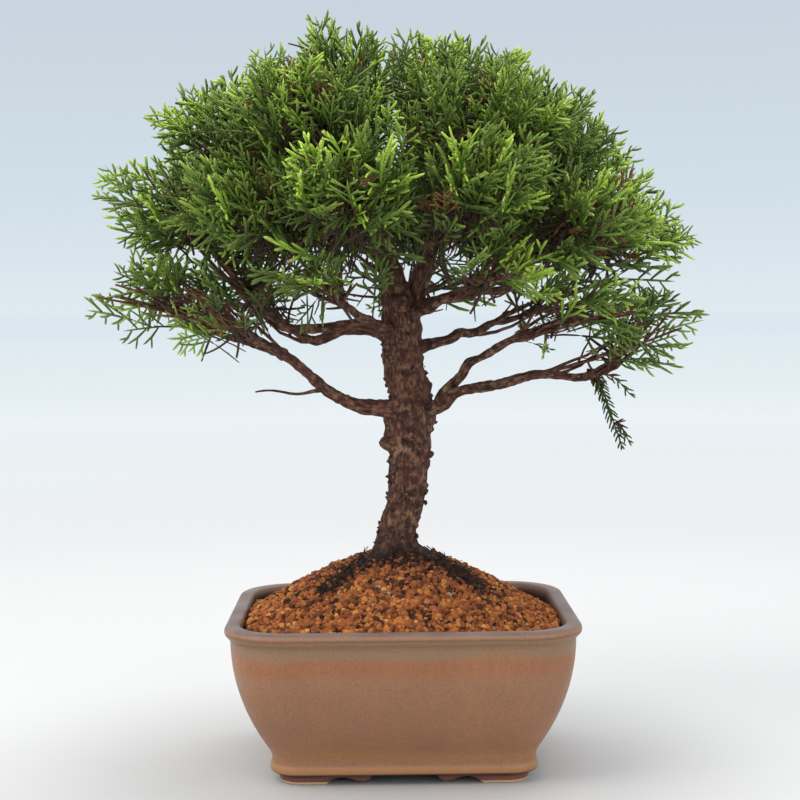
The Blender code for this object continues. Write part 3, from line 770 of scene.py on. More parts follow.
@dataclass(frozen=True)
class BarkFinish:
    """Reddish brown, stringy and flaking bark, darker at its foot."""

    name: str = "bark"
    deep: Colour = paint(32, 21, 18)
    middle: Colour = paint(90, 62, 50)
    light: Colour = paint(156, 118, 92)
    red: Colour = paint(98, 54, 44)
    speck: Colour = paint(176, 148, 112)
    dark_foot: Colour = paint(28, 19, 16)
    dark_foot_height: float = 0.108

    def material(self, effects: Effects) -> Material:
        """Builds the material.

        Args:
            effects: The shared node groups.

        Returns:
            Long fibres on the bark's own map, flakes and red patches through the wood's place,
            pale specks, and a darker band at the foot.
        """
        material, graph, shader = new_finish(self.name)
        wrap = graph.add("ShaderNodeUVMap", uv_map=WRAP).outputs[0]
        long_grain = graph.add("ShaderNodeMapping", {"Vector": wrap, "Scale": (1.0, 0.21, 1.0)}).outputs[0]
        place = graph.add("ShaderNodeTexCoord").outputs["Object"]
        fibre = graph.group(effects.mottle, Vector=long_grain, Scale=1.15, Detail=8.0, Contrast=3.0)
        flake = graph.group(effects.mottle, Vector=place, Scale=330.0, Detail=8.0, Contrast=3.4)
        patch = graph.group(effects.mottle, Vector=place, Scale=95.0, Detail=4.0, Contrast=3.6)
        tone = graph.maths("MULTIPLY_ADD", fibre, 0.44, graph.maths("MULTIPLY", flake, 0.56))
        colour = graph.ramp(tone, ((0.18, self.deep), (0.5, self.middle), (0.86, self.light)))
        colour = graph.veil(patch, 0.55, colour, self.red)
        specks = graph.group(effects.speckle, Vector=place, Scale=520.0, Size=0.34, Amount=0.10)
        colour = graph.veil(specks, 0.75, colour, self.speck)
        height = graph.split(place)[2]
        dark_foot = graph.group(effects.band, Height=height, Low=-1.0, High=self.dark_foot_height, Softness=0.020)
        colour = graph.veil(dark_foot, 0.82, colour, self.dark_foot)
        coat(graph, shader, colour, graph.remap(flake, 0.70, 0.95), tone, 0.0011, 0.30)
        return material


@dataclass(frozen=True)
class GrainFinish:
    """Loose grains, coloured by their place on the palette map."""

    name: str
    tones: Stops
    roughness: float = 0.86
    crevice: Colour = (0.02, 0.01, 0.006, 1.0)

    def material(self, effects: Effects) -> Material:
        """Builds the material.

        Args:
            effects: The shared node groups.

        Returns:
            The grain's tone along the palette, with a fine crumbly mottle across it.
        """
        material, graph, shader = new_finish(self.name)
        place = graph.add("ShaderNodeUVMap", uv_map=PALETTE).outputs[0]
        colour = graph.ramp(graph.split(place)[0], self.tones)
        crumb = graph.group(effects.mottle, Vector=place, Scale=60.0, Detail=4.0, Contrast=2.8)
        colour = graph.veil(crumb, 0.38, colour, graph.mix(0.75, colour, self.crevice))
        rough = graph.remap(crumb, self.roughness - 0.08, self.roughness + 0.08)
        coat(graph, shader, colour, rough, crumb, 0.0003, 0.25)
        return material


@dataclass(frozen=True)
class GlazeFinish:
    """A satin stoneware glaze that breaks to orange and grey under the rim."""

    name: str = "pot_glaze"
    body: Colour = paint(173, 120, 83)
    body_dark: Colour = paint(150, 107, 79)
    streak: Colour = paint(146, 112, 87)
    orange: Colour = paint(166, 90, 36)
    olive: Colour = paint(146, 119, 90)
    line: Colour = paint(70, 44, 38)
    rim: Colour = paint(142, 120, 108)
    rim_dark: Colour = paint(98, 74, 66)
    ochre: Colour = paint(186, 130, 76)
    lip: Colour = paint(82, 48, 52)
    foot_edge: Colour = paint(150, 84, 54)
    clay: Colour = paint(226, 194, 152)
    inner: Colour = paint(66, 38, 32)
    inner_rim: Colour = paint(116, 104, 84)

    def material(self, effects: Effects) -> Material:
        """Builds the material.

        Args:
            effects: The shared node groups.

        Returns:
            Glaze layers by height, each with a wavering edge, streaks that run down, specks, a
            bare clay foot and a dark inside.
        """
        material, graph, shader = new_finish(self.name)
        place = graph.add("ShaderNodeTexCoord").outputs["Object"]
        height = graph.split(place)[2]
        drift = graph.group(effects.mottle, Vector=place, Scale=26.0, Detail=3.0, Contrast=1.6)
        level = graph.maths("ADD", height, graph.remap(drift, -0.0016, 0.0016), clamp=False)
        fine = graph.group(effects.mottle, Vector=place, Scale=1300.0, Detail=4.0, Contrast=2.6)
        cloud = graph.group(effects.mottle, Vector=place, Scale=55.0, Detail=5.0, Contrast=2.2)
        stretched = graph.add("ShaderNodeMapping", {"Vector": place, "Scale": (1.0, 1.0, 0.10)}).outputs[0]
        run = graph.group(effects.mottle, Vector=stretched, Scale=480.0, Detail=5.0, Contrast=2.8)

        def layer(under: Socket, at: Socket, span: Point, share: object, over: object) -> Socket:
            """Lays a colour where `at` lies in the span: its low end, high end and softness."""
            low, high, soft = span
            mask = graph.group(effects.band, Height=at, Low=low, High=high, Softness=soft)
            return graph.veil(mask, share, under, over)

        # Wavering layers on the body.
        colour = graph.veil(cloud, 0.6, self.body, self.body_dark)
        colour = graph.veil(run, 0.42, colour, self.streak)
        colour = layer(colour, level, (0.009, 0.0185, 0.005), 0.55, self.ochre)
        warm = graph.maths("MULTIPLY", graph.remap(run, 0.45, 0.95), 0.52)
        colour = layer(colour, level, (0.0475, 0.0600, 0.0055), warm, self.orange)
        colour = layer(colour, level, (0.0562, 0.0668, 0.0028), 0.66, self.olive)
        colour = graph.veil(fine, 0.55, colour, graph.mix(0.5, colour, self.line))
        dark_specks = graph.group(effects.speckle, Vector=place, Scale=620.0, Size=0.34, Amount=0.20)
        colour = graph.veil(dark_specks, 0.40, colour, self.line)
        warm_specks = graph.group(effects.speckle, Vector=place, Scale=760.0, Size=0.36, Amount=0.22)
        colour = graph.veil(warm_specks, 0.45, colour, self.orange)
        # Exact edges, where the glaze breaks on the rim, the lip and the feet.
        rim = graph.veil(cloud, 0.75, self.rim, self.rim_dark)
        rim = graph.veil(fine, 0.35, rim, self.rim_dark)
        colour = layer(colour, height, (0.0643, 0.0660, 0.0007), 0.42, self.line)
        colour = layer(colour, height, (0.0665, 0.0900, 0.0006), 0.92, rim)
        colour = layer(colour, height, (0.0035, 0.0090, 0.0012), 0.55, self.ochre)
        feet = graph.veil(cloud, 0.5, self.lip, self.line)
        colour = layer(colour, height, (-0.0100, 0.0056, 0.0007), 0.92, feet)
        worn = graph.maths("ADD", cloud, 0.15)
        colour = layer(colour, height, (-0.0100, 0.0034, 0.0012), worn, self.foot_edge)
        colour = layer(colour, height, (-0.0100, 0.0014, 0.0005), 0.95, self.clay)
        # The inside, marked on the mesh.
        inside = graph.add("ShaderNodeAttribute", attribute_name="inside").outputs["Fac"]
        upper = graph.group(effects.band, Height=level, Low=0.0625, High=1.0, Softness=0.003)
        wall = graph.mix(upper, graph.veil(cloud, 0.5, self.inner, self.line), self.inner_rim)
        colour = graph.mix(inside, colour, graph.veil(fine, 0.3, wall, self.inner))
        bare = graph.group(effects.band, Height=height, Low=-0.01, High=0.0014, Softness=0.0006)
        gloss = graph.remap(cloud, 0.34, 0.50)
        rough = graph.add("ShaderNodeMix", {0: bare, 2: gloss, 3: 0.9}, data_type="FLOAT").outputs[0]
        coat(graph, shader, colour, rough, graph.maths("MULTIPLY_ADD", fine, 0.6), 0.00012, 0.45)
        return material


@dataclass(frozen=True)
class FittingFinish:
    """A plain fitting's finish: one base colour, worn and dusted by a mottle."""

    name: str
    base: Colour
    worn: Colour
    roughness: float
    metal: float = 0.0
    scale: float = 700.0
    depth: float = 0.0001
    dirt: Colour = (0.02, 0.015, 0.01, 1.0)

    def material(self, effects: Effects) -> Material:
        """Builds the material.

        Args:
            effects: The shared node groups.

        Returns:
            The base colour with worn patches and specks, over a finely uneven surface.
        """
        material, graph, shader = new_finish(self.name)
        place = graph.add("ShaderNodeTexCoord").outputs["Object"]
        patch = graph.group(effects.mottle, Vector=place, Scale=self.scale, Detail=5.0, Contrast=3.0)
        specks = graph.group(effects.speckle, Vector=place, Scale=self.scale, Size=0.4, Amount=0.25)
        colour = graph.mix(patch, self.base, self.worn)
        colour = graph.veil(specks, 0.5, colour, graph.mix(0.6, colour, self.dirt))
        rough = graph.remap(patch, self.roughness - 0.08, self.roughness + 0.10)
        coat(graph, shader, colour, rough, patch, self.depth, 0.5)
        graph.give(shader, "Metallic", self.metal)
        return material


LIVING = FoliageFinish(
    "foliage",
    dark=(
        (0.00, paint(58, 40, 32)),
        (0.085, paint(62, 44, 32)),
        (0.14, paint(26, 34, 16)),
        (0.50, paint(38, 54, 20)),
        (0.85, paint(60, 86, 28)),
        (1.00, paint(98, 124, 42)),
    ),
    bright=(
        (0.00, paint(88, 60, 42)),
        (0.085, paint(92, 68, 42)),
        (0.15, paint(64, 94, 28)),
        (0.50, paint(128, 170, 46)),
        (0.85, paint(200, 232, 84)),
        (1.00, paint(228, 246, 138)),
    ),
    dead=((0.00, paint(70, 42, 30)), (0.5, paint(112, 58, 34)), (1.0, paint(150, 84, 46))),
)
DROOPING = FoliageFinish(
    "hanging_foliage",
    dark=(
        (0.00, paint(74, 44, 34)),
        (0.085, paint(80, 50, 34)),
        (0.14, paint(26, 42, 22)),
        (1.00, paint(62, 96, 42)),
    ),
    bright=(
        (0.00, paint(100, 60, 42)),
        (0.085, paint(104, 66, 42)),
        (0.15, paint(46, 76, 34)),
        (1.00, paint(108, 150, 66)),
    ),
    dead=((0.00, paint(70, 42, 30)), (1.0, paint(140, 80, 46))),
)
AKADAMA = GrainFinish(
    "soil",
    (
        (0.00, paint(38, 24, 18)),
        (0.16, paint(84, 50, 34)),
        (0.36, paint(144, 82, 46)),
        (0.62, paint(184, 108, 56)),
        (0.82, paint(212, 138, 68)),
        (0.95, paint(232, 178, 104)),
        (1.00, paint(150, 140, 126)),
    ),
)
GRIT = FittingFinish("grit", paint(196, 184, 164), paint(120, 108, 92), 0.85, scale=260.0, depth=0.0012)
MESH_PLASTIC = FittingFinish("drain_mesh_plastic", paint(46, 50, 46), paint(78, 80, 74), 0.6)
CLIP_WIRE = FittingFinish("clip_wire", paint(190, 190, 192), paint(150, 148, 144), 0.35, metal=1.0)
TIE_WIRE = FittingFinish("tie_wire", paint(150, 96, 66), paint(112, 68, 48), 0.38, metal=1.0)


# --------------------------------------------------------------------- pot


@dataclass
class Pot:
    """The rounded rectangular pot: foot cloud, lip, belly, rolled rim, inside, floor and drain holes."""

    half_length: float = 75.0
    half_depth: float = 62.5
    height: float = 68.0
    corner: float = 25.5
    corner_loss: float = 0.72
    wall: float = 4.5
    floor: float = 7.0
    bead: float = 5.5
    overhang: float = 2.4
    rim_width: float = 6.6
    waist_inset: float = 18.8
    waist_height: float = 12.5
    belly_curve: float = 2.1
    lip_inset: float = 18.2
    lip_height: float = 8.2
    foot_height: float = 4.5
    foot_inset: float = 22.2
    foot_band: float = 9.0
    foot_flat: float = 20.0
    foot_flat_side: float = 15.0
    cloud: float = 20.0
    cloud_side: float = 15.0
    hole_radius: float = 6.0
    hole_x: float = 24.0
    around: int = 360

    CLOUD_ALONG = (0.0, 0.04, 0.17, 0.34, 0.50, 0.64, 0.78, 0.90, 0.97, 1.0)
    CLOUD_RISE = (0.0, 0.20, 0.56, 0.68, 0.54, 0.30, 0.24, 0.40, 0.80, 1.06)

    def outline(self, inset: Array) -> tuple[Array, Array]:
        """Traces rounded rectangles.

        Args:
            inset: How far inside the rim's outer edge each ring lies.

        Returns:
            X and Y, one row for each ring, anticlockwise from the middle of the back's right
            half: straight sides and quarter circles, in shares of the outer ring's length.
        """
        x, y = self.half_length, self.half_depth
        radius = np.maximum(self.corner - self.corner_loss * inset, 1.0)[:, None]
        flat_x, flat_y = (x - inset)[:, None] - radius, (y - inset)[:, None] - radius
        quarter = self.corner * math.pi / 2
        wide, deep = 2 * (x - self.corner), 2 * (y - self.corner)
        half = y - self.corner
        stops = np.cumsum([0, half, quarter, wide, quarter, deep, quarter, wide, quarter, half])
        at = np.arange(self.around) / self.around * stops[-1]
        stretch = np.clip(np.searchsorted(stops, at, side="right") - 1, 0, 8)
        share = ((at - stops[stretch]) / np.diff(stops)[stretch])[None]
        turned = (stretch // 2 + np.where(stretch % 2 == 1, share, 0)) * math.pi / 2
        corner_x = np.choose(stretch, [1, 1, 1 - 2 * share[0], -1, -1, -1, 2 * share[0] - 1, 1, 1])
        corner_y = np.choose(stretch, [share[0], 1, 1, 1, 1 - 2 * share[0], -1, -1, -1, share[0] - 1])
        return corner_x * flat_x + radius * np.cos(turned), corner_y * flat_y + radius * np.sin(turned)

    def side_inset(self, height: Array) -> Array:
        """The belly: inset = overhang + (waist - overhang)·(1 - share)^curve, by height."""
        share = np.clip((height - self.waist_height) / (self.height - self.bead - self.waist_height), 0, 1)
        return self.overhang + (self.waist_inset - self.overhang) * (1 - share) ** self.belly_curve

    PLATE_ROWS = 9  # rows from a drain hole's circle out to the edge of its half
    # The rim bead's section: shares of the overhang inwards and of the bead's height upwards.
    BEAD = (
        (0.62, 0.04), (0.40, 0.14), (0.14, 0.28), (0.02, 0.44),
        (0.0, 0.58), (0.06, 0.72), (0.30, 0.88), (0.75, 0.98),
    )

    def profile(self) -> tuple[Array, Array, Array]:
        """Lists the rings from the underside, up the outside, over the rim and down the inside.

        Returns:
            Insets, heights and, for each ring, 1 inside the pot and 0 outside.
        """
        lip, top = self.lip_inset, self.height
        start = np.array(
            [
                [lip + 1.8, self.foot_height],
                [lip + 0.5, self.foot_height + 0.3],
                [lip, self.foot_height + 1.2],
                [lip, self.lip_height - 0.8],
                [lip + 0.25, self.lip_height - 0.1],
                [lip + 0.7, self.lip_height + 0.5],
            ]
        )
        waist = np.array([[self.waist_inset + 0.15, self.lip_height + 1.6]])
        rise = np.linspace(self.waist_height - 0.8, top - self.bead - 0.4, 26)
        belly = np.stack([self.side_inset(rise), rise], axis=1)
        in_share, up_share = np.array(self.BEAD).T
        bead = np.stack([in_share * self.overhang, top - self.bead + up_share * self.bead], axis=1)
        rim = self.rim_width
        crown = np.array(
            [[rim * 0.52, top], [rim - 1.3, top - 0.08], [rim - 0.35, top - 0.45], [rim, top - 1.2]]
        )
        fall = np.linspace(top - 3.0, self.floor + 3.0, 20)
        inner = np.stack([np.maximum(self.side_inset(fall) + self.wall, self.rim_width), fall], axis=1)
        foot = self.waist_inset + self.wall
        cove = np.array(
            [[foot + 0.4, self.floor + 1.4], [foot + 1.3, self.floor + 0.4], [foot + 2.8, self.floor]]
        )
        rings = np.vstack([start, waist, belly, bead, crown, inner, cove])
        inside = np.zeros(len(rings))
        inside[-(len(inner) + len(cove)):] = 1.0
        return rings[:, 0], rings[:, 1], inside

    def walls(self) -> tuple[Surface, Array]:
        """Lofts the outline through the profile.

        Returns:
            The surface and its points' inside values. Columns run anticlockwise and rows go up
            the outside, so faces point outwards.
        """
        inset, height, inside = self.profile()
        x, y = self.outline(inset)
        z = np.repeat(height[:, None], self.around, axis=1)
        points = np.stack([x, y, z], axis=-1)
        surface = Surface(points.reshape(-1, 3), grid_quads(len(inset), self.around, close_columns=True))
        return surface, np.repeat(inside, self.around)

    def plate(self, ring: Array, level: float, upward: bool) -> Surface:
        """Fills a flat ring, leaving the two drain holes.

        Args:
            ring: The ring's points, as the walls end in them.
            level: The plate's height.
            upward: True if it faces up.

        Returns:
            For each half, rows blended from the hole's circle to the half's edge, each circle
            point in the direction of its edge point.
        """
        quarter = self.around // 4
        middle = np.linspace(0, 1, 41)[1:-1, None]
        made = []
        for side in (1, -1):
            order = np.arange(-quarter, quarter + 1) + (0 if side > 0 else 2 * quarter)
            arc = ring[order % self.around]
            closing = arc[-1] * (1 - middle) + arc[0] * middle
            edge = np.vstack([arc, closing])[:, :2]
            hole = np.array([side * self.hole_x, 0.0])
            circle = hole + self.hole_radius * unit(edge - hole)
            share = np.linspace(0, 1, self.PLATE_ROWS)[:, None, None]
            rows = circle * (1 - share) + edge * share
            points = np.concatenate([rows, np.full((*rows.shape[:2], 1), level)], axis=-1)
            quads = grid_quads(self.PLATE_ROWS, len(edge), close_columns=True)
            made.append(Surface(points.reshape(-1, 3), quads if not upward else quads[:, ::-1]))
        return Surface.joined(made)

    def bore(self, ring_low: Array, ring_high: Array) -> Surface:
        """Lines one drain hole, from the underside's circle to the floor's."""
        share = np.linspace(0, 1, 4)[:, None, None]
        rows = ring_low * (1 - share) + ring_high * share
        return Surface(rows.reshape(-1, 3), grid_quads(4, len(ring_low), close_columns=True)[:, ::-1])

    def cloud_height(self, x: Array, y: Array) -> Array:
        """The height of the foot band's underside: flat at the corners, then the cloud's lobes."""
        long_side = np.abs(y) > self.half_depth - self.foot_inset - self.foot_band
        from_end_x = self.half_length - self.foot_inset - self.foot_flat - np.abs(x)
        from_end_y = self.half_depth - self.foot_inset - self.foot_flat_side - np.abs(y)
        share = np.where(long_side, -from_end_x / self.cloud, -from_end_y / self.cloud_side)
        rise = np.interp(-share, self.CLOUD_ALONG, self.CLOUD_RISE, left=0.0)
        return rise * self.foot_height

    def feet(self) -> Surface:
        """Carries the foot band's section round, its underside cut to the cloud line.

        Returns:
            A closed band: six rows across, from the outer top round the underside to the inner
            top, which stay inside the pot's floor where the cloud cuts the band away.
        """
        inset, band = self.foot_inset, self.foot_band
        insets = np.array([inset - 0.6, inset, inset + 0.35, inset + band - 0.4, inset + band, inset + band])
        x, y = self.outline(insets)
        rows = []
        underside = self.cloud_height(x, y)
        lift = np.array([self.foot_height + 0.8, 0.35, 0.0, 0.0, 0.35, self.foot_height + 0.8])
        for row in range(len(insets)):
            low = np.minimum(underside[row] + lift[row], self.foot_height + 0.8)
            rows.append(np.stack([x[row], y[row], low], axis=-1))
        points = np.array(rows)[::-1]
        quads = grid_quads(len(insets), self.around, close_rows=True, close_columns=True)
        return Surface(points.reshape(-1, 3), quads[:, ::-1])

    def build(self, effects: Effects) -> Thing:
        """Makes the pot.

        Args:
            effects: The shared node groups.

        Returns:
            The pot's object, welded, riding and dressed.
        """
        walls, inside = self.walls()
        rows = walls.points.reshape(-1, self.around, 3)
        under = self.plate(rows[0], self.foot_height, upward=False)
        over = self.plate(rows[-1], self.floor, upward=True)
        # The first row of each half of a plate is its drain hole's circle.
        low, high = (plate.points.reshape(2, self.PLATE_ROWS, -1, 3)[:, 0] for plate in (under, over))
        bores = [self.bore(low[half], high[half]) for half in (0, 1)]
        feet = self.feet()
        whole = Surface.joined([walls, under, over, *bores, feet])
        pot = whole.piece("pot_body")
        marks = np.zeros(len(whole.points), np.float32)
        marks[: len(inside)] = inside
        first = len(walls.points) + len(under.points)
        marks[first : first + len(over.points)] = 1.0
        pot.data.attributes.new("inside", "FLOAT", "POINT").data.foreach_set("value", marks)
        weld(pot, 1e-6)
        return dressed(pot, GlazeFinish().material(effects), "pot_glaze", "pot")


def weld(piece: Thing, distance: float) -> None:
    """Joins points that lie within a distance of each other, in metres."""
    held = bmesh.new()
    held.from_mesh(piece.data)
    bmesh.ops.remove_doubles(held, verts=held.verts, dist=distance)
    held.to_mesh(piece.data)
    held.free()


def dressed(piece: Thing, material: Material, slot: str, *nodes: str) -> Thing:
    """Gives a piece its finish and fixes it to the frame.

    Args:
        piece: The new piece.
        material: Its finish.
        slot: Not used.
        *nodes: The CAD nodes that it stands for, if any.

    Returns:
        The same piece.
    """
    piece.data.materials.append(material)
    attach(piece, BODY)
    if nodes:
        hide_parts(*nodes)
    log.info("%s: %d faces, for %s", piece.name, len(piece.data.polygons), ", ".join(nodes) or "no node")
    return piece


# -------------------------------------------------------------------- soil


@dataclass
class SoilBed:
    """The mounded grains in the pot, over a closed bed, with painted shade along the roots' ridges and round
    the trunk's foot.
    """

    reach_x: float = 67.6
    reach_y: float = 55.1
    corner: float = 20.7
    edge: float = 64.5
    mound: float = 29.5
    curve: float = 1.5
    mound_x: float = 68.4
    mound_y: float = 55.9
    dip: float = 6.0
    dip_spread: float = 20.0
    bottom: float = 22.4
    grains: int = 9000
    grain: float = 1.34  # mean radius

    def height(self, x: Array, y: Array) -> Array:
        """The mound: edge + mound·(1 - s^curve) less a round dip in the right back corner."""
        share = np.minimum(np.hypot(x / self.mound_x, y / self.mound_y), 1)
        off_x, off_y = x - 0.62 * self.mound_x, y - 0.60 * self.mound_y
        dip = self.dip * np.exp(-(off_x**2 + off_y**2) / (2 * self.dip_spread**2))
        return self.edge + self.mound * (1 - share**self.curve) - dip

    def bed(self) -> Surface:
        """Builds the closed bed under the grains.

        Returns:
            Rings of a superellipse |x/a|^4 + |y/b|^4 = s^4 out to the wall, lifted to the
            mound's height less a grain, then a side and a flat bottom.
        """
        around, rows = 120, 40
        angle = 2 * math.pi * np.arange(around) / around
        stretch = (np.abs(np.cos(angle)) ** 4.6 + np.abs(np.sin(angle)) ** 4.6) ** (-1 / 4.6)
        share = np.linspace(0.02, 1, rows)[:, None]
        x = self.reach_x * share * stretch * np.cos(angle)
        y = self.reach_y * share * stretch * np.sin(angle)
        z = self.height(x, y) - 1.2
        bottom_share = np.array([0.80, 0.78, 0.02])[:, None]
        low_x = self.reach_x * bottom_share * stretch * np.cos(angle)
        low_y = self.reach_y * bottom_share * stretch * np.sin(angle)
        low_z = np.array([self.bottom + 2, self.bottom, self.bottom])[:, None] + 0 * low_x
        points = np.concatenate([np.stack([x, y, z], -1), np.stack([low_x, low_y, low_z], -1)]).reshape(-1, 3)
        count = rows + 3
        quads = grid_quads(count, around, close_columns=True)[:, ::-1]
        centre = np.array([[0, 0, self.height(np.zeros(1), np.zeros(1))[0] - 1.2], [0, 0, self.bottom]])
        j = np.arange(around)
        after = (j + 1) % around
        top_fan = np.stack([np.full(around, len(points)), j, after], axis=1)
        last = (count - 1) * around
        low_fan = np.stack([np.full(around, len(points) + 1), after + last, j + last], axis=1)
        # Each face takes a small patch of the dark end of the palette: painted shade that shows between the
        # grains.
        quad_patch = np.array([[0.02, 0.10], [0.06, 0.10], [0.06, 0.14], [0.02, 0.14]])
        fan_patch = quad_patch[:3]
        return Surface(
            np.vstack([points, centre]),
            quads,
            np.vstack([top_fan, low_fan]),
            np.repeat(quad_patch[None], len(quads), axis=0),
            np.repeat(fan_patch[None], 2 * around, axis=0),
        )

    def scatter(self) -> list[Surface]:
        """Strews the grains.

        Returns:
            The front half and the back half: twenty-sided grains, each stretched, turned and toned
            at random, darker as painted shade near the front roots, the trunk's foot and the upper front
            slope, on a jittered spiral r = R·sqrt(i/n) cut to the bed's outline.
        """
        random = np.random.default_rng(11)
        i = np.arange(int(self.grains * 1.45))
        spread = np.sqrt((i + 0.5) / len(i))
        angle = i * math.pi * (3 - math.sqrt(5))
        x = 76 * spread * np.cos(angle) + random.normal(0, 0.5, len(i))
        y = 76 * spread * np.sin(angle) * 0.80 + random.normal(0, 0.5, len(i))
        inside = (np.abs(x / self.reach_x) ** 4.6 + np.abs(y / self.reach_y) ** 4.6) < 0.955
        clear = np.hypot(x + 1, y - 1) > 8.0
        x, y = x[inside & clear], y[inside & clear]
        count = len(x)
        size = self.grain * random.lognormal(0, 0.24, count).clip(0.6, 1.75)
        z = self.height(x, y) + random.uniform(-1.3, 0.35, count)
        solid = Icosahedron()
        squash = random.uniform(0.72, 1.12, (count, 1, 3)) * size[:, None, None]
        dents = 1 + random.uniform(-0.13, 0.13, (count, 12, 1))
        shapes = solid.points[None] * dents * squash
        points = np.einsum("nvi,nij->nvj", shapes, random_turns(random, count))
        points += np.stack([x, y, z], axis=-1)[:, None]
        # Painted shade: grains along the front roots, round the trunk's foot and on the upper front slope are
        # darkened.
        along = np.abs(x) - 20
        ridge = np.exp(-((along / 14) ** 2) - ((y + 14 + 0.62 * along) / 5.5) ** 2)
        foot = np.exp(-(((np.hypot(x, y) - 10) / 9.0) ** 2))
        upper = np.exp(-(((x + 2) / 26) ** 2) - ((y + 12) / 17) ** 2)
        shade = 0.80 * ridge + 0.50 * foot + 0.30 * upper
        tone = random.beta(2.9, 2.75, count) - shade * random.uniform(0.3, 1.0, count)
        tone = np.where(random.random(count) < 0.12, random.uniform(0.0, 0.2, count), tone).clip(0.0, 0.93)
        tone = np.where(random.random(count) < 0.005, 0.985, tone)
        row = random.uniform(0.16, 0.97, count)
        patch = np.array([[0.0, 0.0], [0.012, 0.0], [0.006, 0.014]])
        places = np.stack([tone, row], axis=-1)[:, None, None] + patch[None, None]
        halves = []
        for held in (y < 0, y >= 0):
            first = (np.arange(held.sum()) * 12)[:, None, None]
            halves.append(
                Surface(
                    points[held].reshape(-1, 3),
                    triangles=(solid.faces[None] + first).reshape(-1, 3),
                    triangle_map=np.repeat(places[held], len(solid.faces), axis=1).reshape(-1, 3, 2),
                )
            )
        return halves

    def build(self, effects: Effects) -> Thing:
        """Makes the soil.

        Args:
            effects: The shared node groups.

        Returns:
            The soil's object, riding and dressed.
        """
        front, back = self.scatter()
        akadama = AKADAMA.material(effects)
        dressed(back.piece("soil_grains_back", PALETTE, smooth=False), akadama, "soil")
        soil = Surface.joined([self.bed(), front]).piece("soil_grains", PALETTE, smooth=False)
        return dressed(soil, akadama, "soil", "soil")


class Icosahedron:
    """The twenty-sided solid that every grain starts from, with a radius of 1."""

    def __init__(self) -> None:
        """Works out the corners, (0, ±1, ±g) turned through the axes, and the nearest triples."""
        g = (1 + math.sqrt(5)) / 2
        low = np.array([[0, s, t * g] for s in (-1, 1) for t in (-1, 1)], float)
        self.points = unit(np.vstack([low, np.roll(low, 1, axis=1), np.roll(low, 2, axis=1)]))
        near = np.linalg.norm(self.points[:, None] - self.points[None], axis=-1) < 1.06
        triples = [
            (a, b, c) for a in range(12) for b in range(a + 1, 12) for c in range(b + 1, 12)
            if near[a, b] and near[b, c] and near[a, c]
        ]
        faces = np.array(triples)
        corners = self.points[faces]
        turned = np.linalg.det(corners) < 0
        faces[turned] = faces[turned][:, ::-1]
        self.faces = faces


def random_turns(random: np.random.Generator, count: int) -> Array:
    """Draws rotations, from unit quaternions spread evenly over the sphere in four dimensions."""
    w, x, y, z = unit(random.normal(size=(count, 4))).T
    rows = [
        [1 - 2 * (y * y + z * z), 2 * (x * y - z * w), 2 * (x * z + y * w)],
        [2 * (x * y + z * w), 1 - 2 * (x * x + z * z), 2 * (y * z - x * w)],
        [2 * (x * z - y * w), 2 * (y * z + x * w), 1 - 2 * (x * x + y * y)],
    ]
    return np.array(rows).transpose(2, 0, 1)


# -------------------------------------------------------------------- wood


@dataclass(frozen=True)
class Limb:
    """One limb: the pad at its end, its radius at the root, and the route to the pad's middle."""

    pad: str
    radius: float
    route: tuple[Point, ...]


